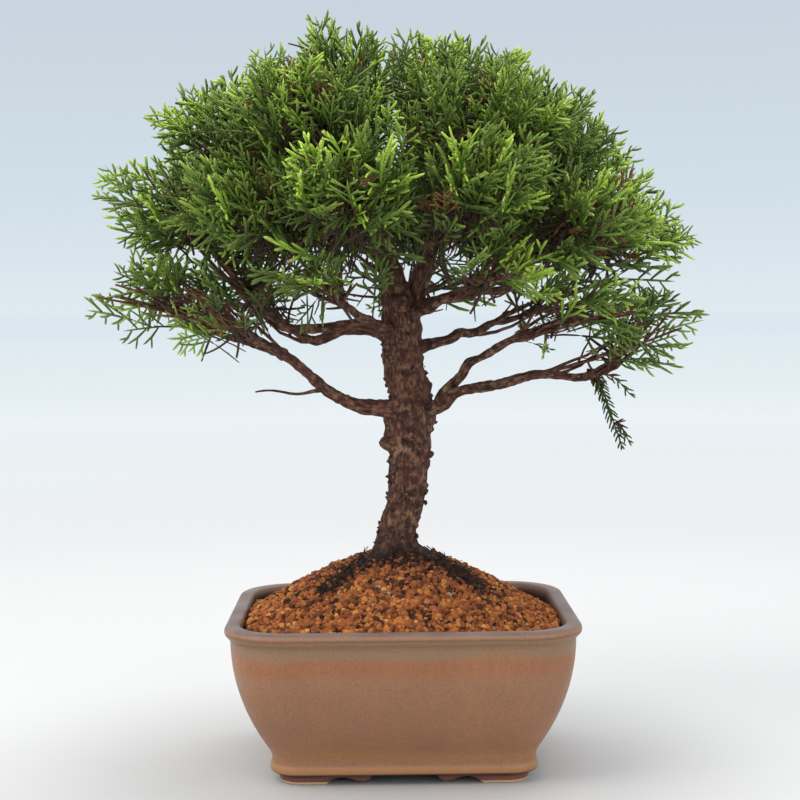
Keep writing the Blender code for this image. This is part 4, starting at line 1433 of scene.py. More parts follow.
LIMBS = (
    Limb(
        "pad_low_far_left", 3.3,
        ((0, -2, 155), (-16, -6, 157), (-27, -10, 161), (-40, -14, 172), (-59, -18, 184), (-83, -13, 191)),
    ),
    Limb("pad_low_left_front", 1.8, ((-50, -16, 180), (-62, -28, 188))),
    Limb(
        "pad_low_left_back", 2.6,
        ((-2, 2, 186), (-18, 4, 191), (-34, 8, 186), (-48, 18, 189), (-60, 34, 196)),
    ),
    Limb("pad_low_front_left", 2.0, ((-4, -3, 190), (-12, -24, 194), (-22, -45, 200))),
    Limb("pad_low_front_right", 2.0, ((5, -3, 196), (18, -24, 202), (29, -44, 207))),
    Limb(
        "pad_low_far_right", 3.2,
        ((2, -6, 150), (16, -6, 157), (24, -9, 162), (44, -14, 168), (68, -12, 170), (85, -9, 171)),
    ),
    Limb(
        "pad_low_right_front", 2.4,
        ((17, -6, 158), (24, -7, 168), (31, -12, 176), (44, -24, 184), (60, -37, 190)),
    ),
    Limb("pad_low_right_back", 2.5, ((3, 2, 180), (22, 8, 186), (34, 17, 189), (50, 32, 194))),
    Limb("pad_low_back", 2.6, ((1, 4, 184), (4, 28, 192), (5, 52, 199))),
    Limb(
        "pad_mid_far_left", 2.6,
        ((-3, -2, 190), (-22, -2, 193), (-38, -4, 190), (-52, -4, 194), (-66, -5, 208), (-82, -8, 230)),
    ),
    Limb("pad_mid_left_front", 1.9, ((-5, -3, 222), (-22, -16, 229), (-44, -34, 236))),
    Limb("pad_mid_left_back", 2.0, ((-5, 0, 220), (-24, 14, 230), (-46, 31, 241))),
    Limb("pad_mid_front_left", 1.8, ((-7, -3, 232), (-12, -26, 238), (-17, -50, 244))),
    Limb("pad_mid_front_right", 1.8, ((13, 1, 226), (18, -22, 234), (25, -47, 242))),
    Limb("pad_mid_right_front", 1.9, ((46, -4, 209), (56, -18, 219), (65, -32, 228))),
    Limb("pad_mid_far_right", 2.6, ((4, 0, 198), (20, -2, 204), (36, -3, 207), (53, -4, 210), (76, -4, 220))),
    Limb("pad_mid_right_back", 2.0, ((13, 2, 226), (30, 16, 233), (50, 32, 238))),
    Limb("pad_mid_back", 2.0, ((12, 2, 222), (9, 27, 233), (4, 52, 243))),
    Limb("pad_high_left", 1.7, ((-12, -4, 254), (-30, -5, 264), (-54, -6, 275))),
    Limb("pad_high_left_front", 1.5, ((-14, -4, 260), (-23, -17, 270), (-34, -32, 280))),
    Limb("pad_high_left_back", 1.5, ((-14, -3, 262), (-22, 13, 271), (-32, 28, 281))),
    Limb("pad_high_right_front", 1.5, ((17, 1, 254), (24, -14, 265), (32, -29, 276))),
    Limb("pad_high_right", 1.6, ((16, 1, 248), (34, 0, 259), (50, 0, 268))),
    Limb("pad_high_right_back", 1.5, ((17, 1, 256), (23, 16, 265), (31, 30, 275))),
    Limb("pad_crown_left", 1.0, ((-20, -4, 278), (-25, -4, 290))),
    Limb("pad_crown_right", 1.0, ((20, -1, 276), (21, -2, 287))),
)


def pad_box(name: str) -> tuple[Array, Array]:
    """The middle and the half sizes of a pad's CAD node, in millimetres."""
    low, high = (np.array(corner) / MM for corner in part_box(name))
    return (low + high) / 2, (high - low) / 2


@dataclass
class Wood:
    """Roots, trunk, leaders, limbs, stubs and twigs, with their bark."""

    radius: float = 7.8
    limb_tip: float = 0.85
    trunk: Bent = (
        (-1, 1, 74, 0.95), (-1, 1, 84, 1.30), (-2, 0, 92, 1.32), (-2, 0, 99, 1.12), (-1, 0, 106, 0.99),
        (2, 0, 115, 0.99), (3, 0, 128, 1.03), (4, 0, 138, 1.14), (4, 0, 146, 1.22), (5, 0, 153, 1.36),
        (4, 0, 161, 1.12), (2, 0, 172, 1.08), (1, 0, 183, 1.12), (0, 0, 193, 1.05), (-1, -1, 204, 0.80),
        (-5, -2, 220, 0.58), (-8, -3, 238, 0.46), (-14, -4, 262, 0.34), (-24, -4, 288, 0.18),
        (-28, -4, 304, 0.10),
    )
    leader: Bent = (
        (0, 1, 188, 5.2), (8, 2, 206, 4.4), (13, 2, 226, 3.7),
        (17, 1, 252, 2.6), (20, -1, 280, 1.5), (22, -2, 299, 0.9),
    )
    stubs: tuple[tuple[Point, Point, float], ...] = (
        ((3, -2, 139), (-9.5, -4, 141), 4.4),
        ((5, -2, 134), (14.5, -4, 136), 2.3),
        ((4, -2, 121), (12.0, -4, 122), 2.2),
        ((3, -3, 112), (-6, -8, 113), 2.2),
        ((4, -4, 150), (6, -13, 152), 3.4),
        ((2, -3, 176), (-6, -9, 178), 2.8),
        ((0, -4, 200), (-1, -12, 203), 4.2),
    )
    roots: tuple[tuple[float, tuple[tuple[float, float], ...]], ...] = (
        (4.6, ((-3, -2), (-12, -9), (-22, -15), (-32, -22), (-40, -27))),
        (4.8, ((3, -2), (13, -9), (22, -15), (31, -21), (37, -26))),
        (4.0, ((-3, 3), (-14, 11), (-25, 18), (-34, 26))),
        (4.0, ((4, 3), (14, 12), (24, 20), (33, 24))),
    )
    bare_twig: tuple[Point, ...] = ((-30, -11, 163), (-44, -15, 164), (-62, -20, 164))

    def bark_relief(self, turn: Array, along: Array) -> Array:
        """The trunk's relief.

        Args:
            turn: Place round the trunk, from 0 to 1.
            along: Distance up it.

        Returns:
            Long fibres, knobs and small flakes as smooth noise. It is rougher over the middle
            of the trunk, and the fibres lean a little as they climb.
        """
        rough = 0.65 + 0.75 * np.exp(-(((along - 88) / 34) ** 2))
        fibres = value_noise(turn * 22 + along * 0.03, along / 13, 22, 3)
        knobs = np.maximum(value_noise(turn * 8, along / 6.5, 8, 4), 0) ** 2
        hollows = np.minimum(value_noise(turn * 6, along / 8.0, 6, 8), 0)
        flakes = value_noise(turn * 44, along / 1.5, 44, 5)
        crust = np.maximum(value_noise(turn * 26, along / 2.6, 26, 6), 0.1)
        return rough * (0.42 * fibres + 1.9 * knobs + 0.7 * hollows + 0.24 * flakes + 0.85 * crust)

    def limb_relief(self, radius: float, seed: int) -> Callable[[Array, Array], Array]:
        """Makes the relief of one limb: knots and fibres in proportion to its radius."""

        def relief(turn: Array, along: Array) -> Array:
            """Adds two smooth noises, fine and coarse."""
            coarse = value_noise(turn * 4, along / (2.4 * radius), 4, seed)
            fine = value_noise(turn * 9, along / 1.6, 9, seed + 1)
            return radius * (0.17 * coarse + 0.09 * fine)

        return relief

    def main_stem(self) -> Surface:
        """Builds the trunk up to the left leader's tip."""
        path = smooth_path(np.array(self.trunk), 420)
        return tube(path[:, :3], path[:, 3] * self.radius, 110, self.bark_relief)

    def limb_path(self, limb: Limb) -> Array:
        """Runs a limb's route on to the middle of its pad, with its radius as a fourth column."""
        middle, _ = pad_box(limb.pad)
        route = smooth_path(np.vstack([limb.route, middle]), 14 * (len(limb.route) + 1))
        share = np.linspace(0, 1, len(route))[:, None]
        wander = 0.9 * np.sin(share * math.pi) * np.hstack(
            [np.sin(19 * share + limb.radius * 9), np.cos(15 * share + limb.radius * 5), np.sin(23 * share)]
        )
        radii = self.limb_tip + (limb.radius - self.limb_tip) * (1 - share) ** 0.8
        collar = 1 + 0.45 * np.exp(-((share / 0.10) ** 2))
        return np.hstack([route + wander, radii * collar])

    def stub(self, start: Point, end: Point, radius: float, seed: int) -> Surface:
        """Builds one healed stub: a lumpy tube with a domed end, r·sqrt(1 - share^5)."""
        share = np.linspace(0, 1, 24)
        path = np.array(start) + share[:, None] * (np.array(end) - np.array(start))
        radii = radius * (1.12 - 0.20 * share) * np.sqrt(np.maximum(1 - share**5, 0.01))
        rough = self.limb_relief(radius, seed)
        return tube(path, radii, 20, lambda turn, along: rough(turn, along) * radii[:, None] / radius)

    def knobs(self) -> Surface:
        """Sets crusty knobs and lifted flakes on the trunk.

        Returns:
            Dented grains of bark at seeded places over the trunk's surface, sunk by a third.
        """
        random = np.random.default_rng(21)
        count = 260
        path = smooth_path(np.array(self.trunk), 420)
        share = np.concatenate([random.uniform(0.26, 0.66, count - 60), random.uniform(0.12, 0.3, 60)])
        row = (share * (len(path) - 1)).astype(int)
        tangent, side, other = frames_along(path[:, :3])
        angle = random.uniform(0, 2 * math.pi, count)
        out = np.cos(angle)[:, None] * side[row] + np.sin(angle)[:, None] * other[row]
        reach = path[row, 3] * self.radius + random.uniform(-0.4, 0.7, count)
        centres = path[row, :3] + out * reach[:, None]
        solid = Icosahedron()
        size = random.uniform(0.5, 1.5, count)[:, None, None]
        shapes = solid.points[None] * (1 + random.uniform(-0.35, 0.35, (count, 12, 1))) * size
        shapes = shapes * random.uniform(0.35, 1.4, (count, 1, 3))
        points = np.einsum("nvi,nij->nvj", shapes, random_turns(random, count)) + centres[:, None]
        first = (np.arange(count) * 12)[:, None, None]
        spot = random.uniform(0, 40, (count, 1, 1, 2)) + np.array([[0, 0], [1.2, 0], [0.6, 1.2]])[None, None]
        return Surface(
            points.reshape(-1, 3),
            triangles=(solid.faces[None] + first).reshape(-1, 3),
            triangle_map=np.repeat(spot, len(solid.faces), axis=1).reshape(-1, 3, 2),
        )

    def surface_root(
        self, radius: float, plan: tuple[tuple[float, float], ...], soil: SoilBed, seed: int
    ) -> Surface:
        """Builds one root that shows along the mound, just sunk in it."""
        flat = smooth_path(np.array(plan), 44)
        sunk = 0.25 * radius + 2.4 * np.linspace(0, 1, len(flat))
        height = soil.height(flat[:, 0], flat[:, 1]) - sunk
        radii = radius * np.linspace(1.0, 0.35, len(flat))
        path = np.column_stack([flat, height])
        return tube(path, radii, 20, self.limb_relief(radius * 1.3, seed))

    def rootlets(self, soil: SoilBed, count: int = 250) -> list[Surface]:
        """Lays hair-thin roots about the surface roots.

        Args:
            soil: The bed that they lie on.
            count: How many there are.

        Returns:
            One curved tube for each: it leaves a root's side, runs over the grains and lifts at
            its end, with a tuft of them where each front root dives.
        """
        random = np.random.default_rng(61)
        made = []
        for k in range(count):
            _, plan = self.roots[k % 2 if k % 5 else 2 + k % 2]
            flat = smooth_path(np.array(plan), 44)
            at = random.integers(6, 40) if k % 4 else random.integers(28, 36)
            heading = random.uniform(0, 2 * math.pi)
            reach = random.uniform(3.0, 9.0)
            share = np.linspace(0, 1, 8)
            bend = heading + random.uniform(-1.2, 1.2) * share
            x = flat[at, 0] + reach * share * np.cos(bend)
            y = flat[at, 1] + reach * share * np.sin(bend)
            lift = 0.7 + random.uniform(0.2, 3.0) * share**2
            path = np.column_stack([x, y, soil.height(x, y) + lift])
            made.append(tube(path, np.linspace(0.42, 0.16, 8), 5))
        return made

    def build(self, effects: Effects, soil: SoilBed) -> Thing:
        """Makes the wood.

        Args:
            effects: The shared node groups.
            soil: The bed that the roots lie on.

        Returns:
            The wood's object, riding and dressed.
        """
        leader = smooth_path(np.array(self.leader), 120)
        second_stem = tube(leader[:, :3], leader[:, 3], 36, self.limb_relief(3.4, 31))
        parts = [self.main_stem(), second_stem, self.knobs()]
        for seed, limb in enumerate(LIMBS):
            path = self.limb_path(limb)
            around = 22 if limb.radius > 2.2 else 14
            parts.append(tube(path[:, :3], path[:, 3], around, self.limb_relief(limb.radius, 40 + seed)))
        parts += [self.stub(*stub, seed=80 + i) for i, stub in enumerate(self.stubs)]
        parts += [self.surface_root(r, plan, soil, 90 + i) for i, (r, plan) in enumerate(self.roots)]
        parts += self.rootlets(soil)
        twig = smooth_path(np.array(self.bare_twig, float), 30)
        share = np.linspace(0, 1, 30)
        twig[:, 2] += 0.9 * np.sin(share * 9.0)
        twig[:, 1] += 0.8 * np.sin(share * 13.0)
        parts.append(tube(twig, 1.0 - 0.65 * share, 10, self.limb_relief(0.8, 99)))
        wood = Surface.joined(parts).piece("trunk_bark", WRAP)
        return dressed(wood, BarkFinish().material(effects), "bark", "trunk_and_limbs")


# ----------------------------------------------------------------- foliage


class Habit(Enum):
    """How a pad's shoots stand: reaching out level, rising, or crowning the tree."""

    SPREADING = "low"
    RISING = "mid"
    DOMED = "high"
    CROWNING = "crown"


@dataclass(frozen=True)
class Growth:
    """What a habit means: how far shoots lift, how many fans a pad has, and their lengths."""

    lift: float
    fans: int
    shortest: float
    longest: float


TWIG_RINGS = (0.02, 0.22, 0.42, 0.62, 0.82, 0.97)
TWIG_FULLNESS = (1.25, 1.05, 0.95, 0.9, 0.8, 0.7)
GROWTHS = {
    Habit.SPREADING: Growth(0.04, 92, 19.0, 30.0),
    Habit.RISING: Growth(0.22, 110, 17.0, 28.0),
    Habit.DOMED: Growth(0.42, 118, 15.0, 25.0),
    Habit.CROWNING: Growth(0.60, 118, 15.0, 24.0),
}


@dataclass
class Canopy:
    """The dome that the pads make together, with the fans that close the gaps between them."""

    half_width: float = 125.0
    half_depth: float = 97.0
    widest_at: float = 190.0
    top: float = 320.0
    roundness: float = 2.3
    hollow: float = 42.0  # how far the underside rises over the trunk
    hollow_reach: float = 58.0
    underside: float = 200.0
    sparse: float = 0.21  # share of the shoots that stand below the dome
    dense_from: float = 196.0
    dense_at: float = 260.0
    heart_reach: float = 72.0  # within this of the axis the lower shoots are thinned again
    window_x: float = 4.0  # the middle of a thinner place, where the trunk shows
    window_z: float = 226.0
    window_wide: float = 42.0
    window_high: float = 22.0
    window_back: float = 5.0  # it reaches no further back
    tries: int = 3400

    @property
    def heart(self) -> Array:
        """The middle that shoots grow away from."""
        return np.array([0.0, 0.0, self.widest_at + 12])

    def gaps(self) -> tuple[Array, Array]:
        """Finds where the dome is still empty.

        Returns:
            Tips inside |x/a|^n + |y/b|^n + |z/c|^n = 1 and outside every pad, and the number of
            the nearest pad for each, by the distance over that pad's own half sizes.
        """
        random = np.random.default_rng(400)
        low = [-self.half_width, -self.half_depth, self.underside]
        points = random.uniform(low, [self.half_width, self.half_depth, self.top], (self.tries, 3))
        x, y, z = points.T
        rise = np.maximum(z - self.widest_at, 0) / (self.top - self.widest_at)
        n = self.roundness
        inside = np.abs(x / self.half_width) ** n + np.abs(y / self.half_depth) ** n + rise**n < 1
        under = self.underside + self.hollow * np.exp(-((x**2 + y**2) / self.hollow_reach**2))
        boxes = [pad_box(limb.pad) for limb in LIMBS]
        middles, halves = (np.array(part) for part in zip(*boxes))
        near = np.linalg.norm((points[:, None] - middles) / halves, axis=-1)
        kept = inside & (z > under) & (near.min(axis=1) > np.where(z > 248, 0.74, 0.90))
        return points[kept], near.argmin(axis=1)[kept]

    def fullness(self, tips: Array) -> Array:
        """Tells how likely a shoot is to stand at each tip.

        Args:
            tips: Where shoots would end.

        Returns:
            The sparse share at the underside, rising smoothly to 1 in the dome, and less again
            near the axis, where the limbs show.
        """
        share = np.clip((tips[:, 2] - self.dense_from) / (self.dense_at - self.dense_from), 0, 1)
        rising = share * share * (3 - 2 * share)
        near_axis = np.exp(-((np.hypot(tips[:, 0], tips[:, 1] * 0.75) / self.heart_reach) ** 4))
        x, y, z = tips.T
        across, up = (x - self.window_x) / self.window_wide, (z - self.window_z) / self.window_high
        window = np.exp(-(across**2) - up**2) * (y < self.window_back)
        by_height = self.sparse + (1 - self.sparse) * rising
        return by_height * (1 - 0.80 * near_axis * (1 - rising)) * (1 - 0.5 * window)


def set_tones(made: Surface, tones: Array) -> None:
    """Moves each equal run of a surface's faces to its own tone on the palette."""
    for places in (made.quad_map, made.triangle_map):
        run = np.repeat(tones, len(places) // len(tones))
        places[..., 1] = run[:, None] + TONE_STEP * places[..., 1]


@dataclass
class Pad:
    """The foliage of one limb: fans of branchlets over twigs, in the space of its CAD solid."""

    limb: "Limb"
    seed: int
    canopy: Canopy

    @property
    def name(self) -> str:
        """The name of its CAD node."""
        return self.limb.pad

    @property
    def growth(self) -> Growth:
        """The growth of the habit that the pad's name gives."""
        return GROWTHS[Habit(self.name.split("_")[1])]

    def fan_places(
        self, random: np.random.Generator, gaps: Array, wood: "Wood"
    ) -> tuple[Array, Array, Array, Array, Array]:
        """Chooses where the fans' tips lie, and where they point.

        Args:
            random: The pad's own seeded draw.
            gaps: Tips in the space round the pad that it is to close.
            wood: The wood that the pad grows on.

        Returns:
            Tips, headings, how far out each is from the canopy's heart, lengths, and where on
            the limb each one's twig starts. Tips lie at c + h·d·share for even directions d,
            mostly near the pad's skin, and no fan is longer than its way to the limb allows.
        """
        growth = self.growth
        middle, half = pad_box(self.name)
        out = unit(middle - self.canopy.heart)
        i = np.arange(growth.fans)
        z = 1 - 2 * (i + 0.5) / len(i)
        angle = i * math.pi * (3 - math.sqrt(5)) + self.seed
        ball = np.stack([np.sqrt(1 - z * z) * np.cos(angle), np.sqrt(1 - z * z) * np.sin(angle), z], axis=1)
        ball = unit(ball + random.normal(0, 0.16, ball.shape))
        keep = random.random(len(ball)) < np.clip(0.66 + 0.50 * (ball @ out), 0.20, 1.0)
        ball = ball[keep]
        near_skin = random.random(len(ball)) < 0.72
        by_skin = random.uniform(0.82, 1.12, len(ball))
        share = np.where(near_skin, by_skin, random.uniform(0.35, 0.82, len(ball)))
        tips = np.vstack([middle + half * ball * share[:, None], gaps])
        away = unit((tips - middle) / half)
        from_heart = unit(tips - self.canopy.heart)
        up = np.array([0.0, 0.0, 1.0])
        path = wood.limb_path(self.limb)[:, :3]
        outer = path[int(len(path) * 0.40) :]
        nearest = np.linalg.norm(tips[:, None] - outer[None], axis=-1).argmin(axis=1)
        starts = outer[np.maximum(nearest - random.integers(2, 14, len(tips)), 0)]
        growing = tips - starts
        low = np.interp(tips[:, 2], (212.0, 252.0), (1.0, 0.0))[:, None]
        heading = unit(
            (0.62 - 0.30 * low) * away
            + (0.34 - 0.15 * low) * (out + from_heart)
            + growth.lift * (1 - 0.5 * low) * up
            + 0.75 * low * unit(growing)
            + random.normal(0, 0.25, tips.shape)
        )
        share = np.concatenate([share, random.uniform(0.55, 1.0, len(gaps))])
        length = random.uniform(growth.shortest, growth.longest, len(tips))
        reach = np.linalg.norm(growing, axis=1) / 1.25 + 40 * (1 - low[:, 0])
        length = np.clip(length, 9.0, np.maximum(reach, 9.5))
        kept = random.random(len(tips)) < self.canopy.fullness(tips)
        return tips[kept], heading[kept], ((away @ out) * share)[kept], length[kept], starts[kept]

    def twigs(self, random: np.random.Generator, starts: Array, ends: Array, headings: Array) -> Surface:
        """Runs a thin twig from the limb to the foot of each fan.

        Args:
            random: The pad's own seeded draw.
            starts: Where on the limb each twig starts.
            ends: Where the fans' stalks begin.
            headings: Where the fans point.

        Returns:
            One bent spindle for each fan, which arrives along the fan's heading.
        """
        gap = np.linalg.norm(ends - starts, axis=1)[:, None]
        bends = (starts + ends) / 2 - headings * gap * 0.10 + random.normal(0, 0.06, ends.shape) * gap
        radii = random.uniform(0.45, 0.85, len(ends))
        tones = np.tile([0.005, 0.070], (len(ends), 1))
        needles = Needles(starts, bends, ends, radii, tones, TWIG_RINGS, TWIG_FULLNESS)
        made = needles.surface(np.array([0.0, 0.0, 1.0]))
        set_tones(made, random.uniform(0.10, 0.95, len(ends)))
        return made

    def build(self, wood: "Wood", sprays: Sprays, gaps: Array, material: Material) -> Thing:
        """Makes the pad.

        Args:
            wood: The wood that it grows on.
            sprays: The fans to set it from.
            gaps: Tips in the space round the pad that it is to close.
            material: The foliage finish, which all pads share.

        Returns:
            The pad's object, riding and dressed.
        """
        random = np.random.default_rng(500 + self.seed)
        tips, heading, outer, length, starts = self.fan_places(random, gaps, wood)
        count = len(tips)
        # Fans nearer the canopy's heart take darker tones: painted shade inside the canopy, on top of a
        # random spread.
        tone = 0.16 + 0.20 * outer + random.normal(0, 0.13, count)
        young = random.random(count) < 0.19 + 0.14 * outer
        tone = np.where(young, random.uniform(0.66, 0.98, count), tone).clip(0.09, 0.97)
        dead = random.random(count) < 0.12
        tone = np.where(dead, random.uniform(0.0, 0.035, count), tone)
        tips = np.where(dead[:, None], tips - heading * 7.0, tips)
        length = np.where(dead, length * 0.55, length)
        kinds = random.integers(0, len(sprays.built), count)
        rolls = random.uniform(0, 2 * math.pi, count)
        bases = tips - heading * length[:, None]
        fans = sprays.set_out(bases, heading, rolls, length, tone, kinds)
        feet = bases - heading * (0.42 * length)[:, None]
        twigs = self.twigs(random, starts, feet, heading)
        pad = Surface.joined([fans, twigs]).piece(self.name.replace("pad_", "foliage_"), PALETTE)
        return dressed(pad, material, "foliage", self.name)


@dataclass
class Twigs:
    """The thin woody twigs that fan out from each limb's end into its pad."""

    for_each: int = 13
    radius: float = 0.80

    def build(self, wood: Wood, material: Material) -> Thing:
        """Makes the twigs.

        Args:
            wood: The wood that they leave.
            material: The bark finish.

        Returns:
            One piece of curved twigs: each leaves its limb's outer half, sets off along the
            limb and bends out to a point inside the pad's skin.
        """
        random = np.random.default_rng(77)
        made = []
        for limb in LIMBS:
            middle, half = pad_box(limb.pad)
            path = wood.limb_path(limb)[:, :3]
            for _ in range(self.for_each):
                at = random.integers(int(len(path) * 0.45), len(path) - 1)
                start, ahead = path[at], unit(path[at] - path[at - 3])
                aim = unit(random.normal(size=3)) * random.uniform(0.45, 0.88)
                end = middle + half * aim * [1, 1, math.copysign(1, aim[2])]
                sag = np.array([0, 0, random.uniform(-3, 3)])
                bend = start + ahead * np.linalg.norm(end - start) * 0.4 + sag
                share = np.linspace(0, 1, 12)[:, None]
                curve = (1 - share) ** 2 * start + 2 * share * (1 - share) * bend + share**2 * end
                curve += random.normal(0, 0.28, curve.shape) * np.sin(share * math.pi)
                radii = self.radius * np.linspace(1.0, 0.5, 12) * random.uniform(0.8, 1.3)
                made.append(tube(curve, radii, 6))
        piece = Surface.joined(made).piece("fine_twigs", WRAP)
        return dressed(piece, material, "bark")


@dataclass
class HangingShoot:
    """The one drooping shoot, low on the right, with awl-shaped leaves in pairs."""

    root: Point = (85, -9, 172)
    lean: tuple[float, float] = (11, -3)
    length: float = 34.0
    stem: float = 0.62
    leaf: float = 5.6
    pairs: int = 32

    def needles(self, root: Array, lean: Array, length: float, pairs: int, seed: int) -> Needles:
        """Sets leaves in pairs along a bent stem.

        Args:
            root: Where the stem starts.
            lean: How far its tip lies sideways from its root, in X and Y.
            length: How far down it hangs.
            pairs: How many pairs of leaves it has.
            seed: Which draw.

        Returns:
            The stem in three stretches and its leaves, 40 degrees off it towards the tip.
        """
        random = np.random.default_rng(seed)
        share = np.linspace(0, 1, 60)[:, None]
        drop = -length * share + 3 * np.sin(share * math.pi)
        path = root + np.hstack([lean[0] * share**1.3, lean[1] * share, drop])
        tangent, side, other = frames_along(path)
        stretch = np.array([0, 14, 28, 42, 59])
        stem = Needles(
            path[stretch[:-1]],
            path[(stretch[:-1] + stretch[1:]) // 2],
            path[stretch[1:]] + tangent[stretch[1:]] * 0.4,
            np.array([1.0, 0.9, 0.8, 0.6]) * self.stem,
            np.array([[0.0, 0.05], [0.02, 0.07], [0.16, 0.25], [0.2, 0.4]]),
        )
        row = np.repeat(np.linspace(3, 57, pairs).astype(int), 2)
        turn = np.tile([0.0, math.pi], pairs) + np.repeat(np.arange(pairs) % 2 * 1.2, 2)
        turn = turn + random.normal(0, 0.3, 2 * pairs)
        across = np.cos(turn)[:, None] * other[row] + np.sin(turn)[:, None] * side[row]
        size = self.leaf * random.uniform(0.75, 1.1, 2 * pairs) * (1 - 0.35 * (row / 59) ** 3)
        start = path[row]
        bend = start + (0.62 * tangent[row] + 0.70 * across) * (size * 0.5)[:, None]
        end = bend + (0.86 * tangent[row] + 0.42 * across) * (size * 0.5)[:, None]
        tones = np.tile([0.2, 0.95], (2 * pairs, 1))
        tones[:8] = [0.01, 0.07]
        return Needles(
            np.vstack([stem.starts, start]),
            np.vstack([stem.bends, bend]),
            np.vstack([stem.ends, end]),
            np.concatenate([stem.radii, np.full(2 * pairs, 0.50)]),
            np.vstack([stem.tones, tones]),
        )

    def build(self, effects: Effects) -> Thing:
        """Makes the shoot, its side shoots and the small leafy twigs beside it.

        Args:
            effects: The shared node groups.

        Returns:
            The shoot's object, riding and dressed.
        """
        root = np.array(self.root, float)
        stems = (
            (root, self.lean, self.length, self.pairs, 0.28),
            (root + np.array([7.6, -2.0, -23.0]), (6.0, -2.0), 8.0, 7, 0.56),
            (root + np.array([-4.0, 0.5, 0.5]), (7.0, -1.0), 13.0, 12, 0.12),
            (root + np.array([3.0, -1.0, -2.0]), (12.0, 2.0), 9.0, 9, 0.90),
        )
        parts = []
        for seed, (start, lean, length, pairs, tone) in enumerate(stems):
            shoot = self.needles(start, np.array(lean), length, pairs, 300 + seed)
            made = shoot.surface(np.array([0.0, 1.0, 0.0]))
            set_tones(made, np.array([tone]))
            parts.append(made)
        shoot = Surface.joined(parts).piece("drooping_shoot", PALETTE)
        return dressed(shoot, DROOPING.material(effects), "hanging_foliage", "hanging_shoot")


# ------------------------------------------------------------------ studio


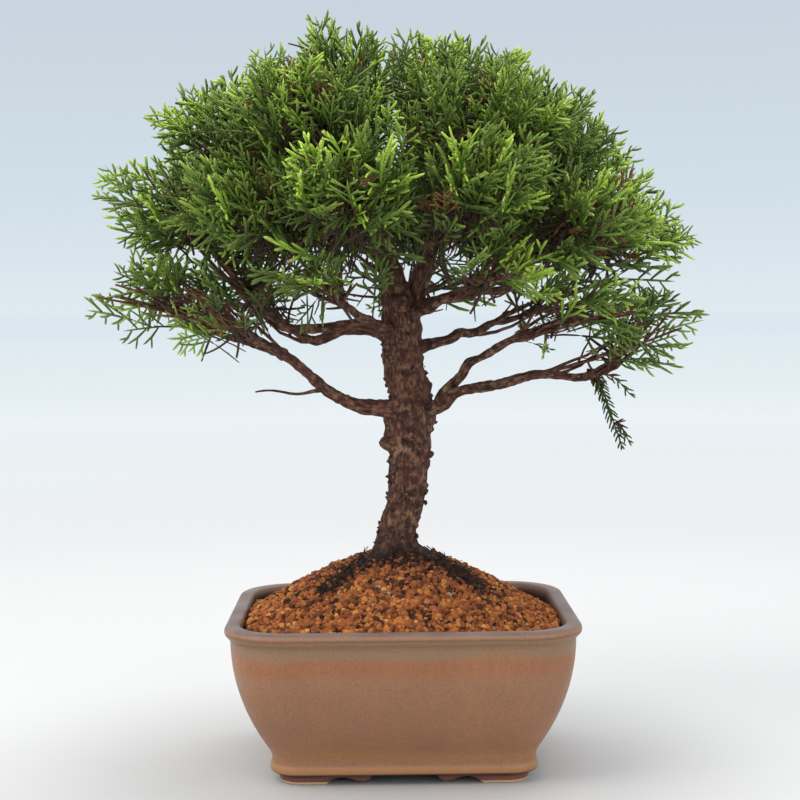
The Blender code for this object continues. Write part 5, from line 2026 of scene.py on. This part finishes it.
@dataclass
class Studio:
    """The pale floor, the soft lights and the camera."""

    floor_reach: float = 40.0
    camera_at: Point = (-0.0084, -0.6932, 0.2000)
    pitch: float = 3.37
    yaw: float = -0.68
    roll: float = -0.48
    lens: float = 71.1
    lights: tuple[tuple[str, Point, float, float, tuple[float, float, float]], ...] = (
        ("key_light", (-0.70, -0.45, 1.05), 0.80, 7.5, (1.0, 0.98, 0.95)),
        ("fill_light", (0.85, -0.85, 0.60), 0.90, 2.0, (0.96, 0.98, 1.0)),
        ("top_light", (0.10, 0.15, 1.20), 0.70, 8.5, (1.0, 1.0, 1.0)),
    )

    def floor(self) -> None:
        """Lays a round floor: rings r = R·s³ about the origin. Its colour runs with distance: darker near the
        pot as painted shade that tempers the lamps' pool, and pale blue far off where it meets the sky.
        """
        around, rows = 96, 24
        angle = 2 * math.pi * np.arange(around) / around
        share = np.linspace(0.05, 1, rows)[:, None]
        reach = self.floor_reach / MM * share**3
        points = np.stack([reach * np.cos(angle), reach * np.sin(angle), 0 * reach * angle], axis=-1)
        points = points.reshape(-1, 3)
        j = np.arange(around)
        fan = np.stack([np.full(around, len(points)), j, (j + 1) % around], axis=1)
        quads = grid_quads(rows, around, close_columns=True)[:, ::-1]
        disc = Surface(np.vstack([points, [[0, 0, 0]]]), quads, fan)
        floor = disc.piece("studio_floor")
        material, graph, shader = new_finish("studio_floor")
        place = graph.add("ShaderNodeTexCoord").outputs["Object"]
        reach = graph.add("ShaderNodeVectorMath", {0: place}, operation="LENGTH").outputs["Value"]
        distance = graph.remap(reach, 0.0, 1.0, 0.0, 12.0)
        # Painted shade: the floor is darker near the pot, to temper the lamps' pool of light.
        floor_colour_with_painted_shade = graph.ramp(
            distance,
            (
                (0.0, (0.56, 0.555, 0.55, 1.0)),
                (0.06, (0.625, 0.62, 0.615, 1.0)),
                (0.11, (0.78, 0.795, 0.79, 1.0)),
                (0.18, (0.91, 0.94, 0.945, 1.0)),
                (0.30, (0.875, 0.925, 0.935, 1.0)),
                (1.0, (0.80, 0.88, 0.93, 1.0)),
            ),
        )
        graph.give(shader, "Base Color", floor_colour_with_painted_shade)
        graph.give(shader, "Roughness", 0.55)
        graph.give(shader, "Specular IOR Level", 0.2)
        floor.data.materials.append(material)

    def sky(self) -> None:
        """Sets the soft surrounding light: nearly white at the horizon, pale blue above, white overhead."""
        world = bpy.data.worlds.new("studio_air")
        world.use_nodes = True
        bpy.context.scene.world = world
        graph = Graph(world.node_tree)
        graph.tree.nodes.clear()
        direction = graph.add("ShaderNodeTexCoord").outputs["Generated"]
        climb = graph.split(direction)[2]
        colour = graph.ramp(
            climb,
            (
                (0.0, (0.74, 0.82, 0.87, 1.0)),
                (0.07, (0.64, 0.74, 0.81, 1.0)),
                (0.20, (0.57, 0.65, 0.73, 1.0)),
                (0.45, (0.85, 0.90, 0.94, 1.0)),
                (1.0, (1.0, 1.0, 1.0, 1.0)),
            ),
        )
        light = graph.add("ShaderNodeBackground", {"Color": colour, "Strength": 1.0})
        graph.add("ShaderNodeOutputWorld", {0: light.outputs[0]})

    def lamps(self) -> None:
        """Hangs the softboxes, each turned to the middle of the tree."""
        aim = np.array([0.0, 0.0, 0.17])
        for name, place, size, power, tint in self.lights:
            lamp = bpy.data.lights.new(name, "AREA")
            lamp.shape, lamp.size, lamp.energy, lamp.color = "DISK", size, power, tint
            hung = bpy.data.objects.new(name, lamp)
            bpy.context.scene.collection.objects.link(hung)
            back = unit(np.array(place) - aim)
            side = unit(np.cross([0.0, 0.0, 1.0], back)) if abs(back[2]) < 0.99 else np.array([1.0, 0.0, 0.0])
            turn = np.column_stack([side, np.cross(back, side), back])
            hung.matrix_world = Matrix.Translation(place) @ Matrix(turn.tolist()).to_4x4()

    def camera(self) -> None:
        """Stands the camera in front, a little above the soil, looking slightly down."""
        made = bpy.data.cameras.new("front_camera")
        made.lens, made.sensor_width = self.lens, 36.0
        made.clip_start, made.clip_end = 0.01, 200.0
        seen = bpy.data.objects.new("front_camera", made)
        bpy.context.scene.collection.objects.link(seen)
        seen.matrix_world = (
            Matrix.Translation(self.camera_at)
            @ Matrix.Rotation(math.radians(self.yaw), 4, "Z")
            @ Matrix.Rotation(math.radians(90 - self.pitch), 4, "X")
            @ Matrix.Rotation(math.radians(self.roll), 4, "Z")
        )
        bpy.context.scene.camera = seen

    def build(self) -> None:
        """Sets the studio up."""
        self.floor()
        self.sky()
        self.lamps()
        self.camera()
        bpy.context.scene.view_settings.view_transform = "Standard"


# --------------------------------------------------------------------- all


@dataclass
class PotFittings:
    """The hidden fittings, kept as the CAD solids: drain meshes, clips, tie wire and grit."""

    finishes: tuple[tuple[FittingFinish, tuple[str, ...]], ...] = (
        (MESH_PLASTIC, ("drain_mesh_left", "drain_mesh_right")),
        (CLIP_WIRE, ("mesh_clip_left", "mesh_clip_right")),
        (TIE_WIRE, ("tie_wire",)),
        (GRIT, ("drainage_grit",)),
    )

    def build(self, effects: Effects) -> None:
        """Dresses each fitting.

        Args:
            effects: The shared node groups.
        """
        for finish, nodes in self.finishes:
            material = finish.material(effects)
            for node in nodes:
                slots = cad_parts[node].data.materials
                slots.clear()
                slots.append(material)
                log.info("%s: finish %s", node, finish.name)


def main() -> None:
    """Builds every piece in order."""
    logging.basicConfig(level=logging.INFO, format="%(message)s")
    effects = Effects()
    Studio().build()
    Pot().build(effects)
    PotFittings().build(effects)
    soil = SoilBed()
    soil.build(effects)
    wood = Wood()
    trunk = wood.build(effects, soil)
    Twigs().build(wood, trunk.data.materials[0])
    sprays = Sprays()
    living = LIVING.material(effects)
    canopy = Canopy()
    gaps, owners = canopy.gaps()
    for seed, limb in enumerate(LIMBS):
        Pad(limb, seed, canopy).build(wood, sprays, gaps[owners == seed], living)
    HangingShoot().build(effects)


if __name__ == "__main__":
    main()
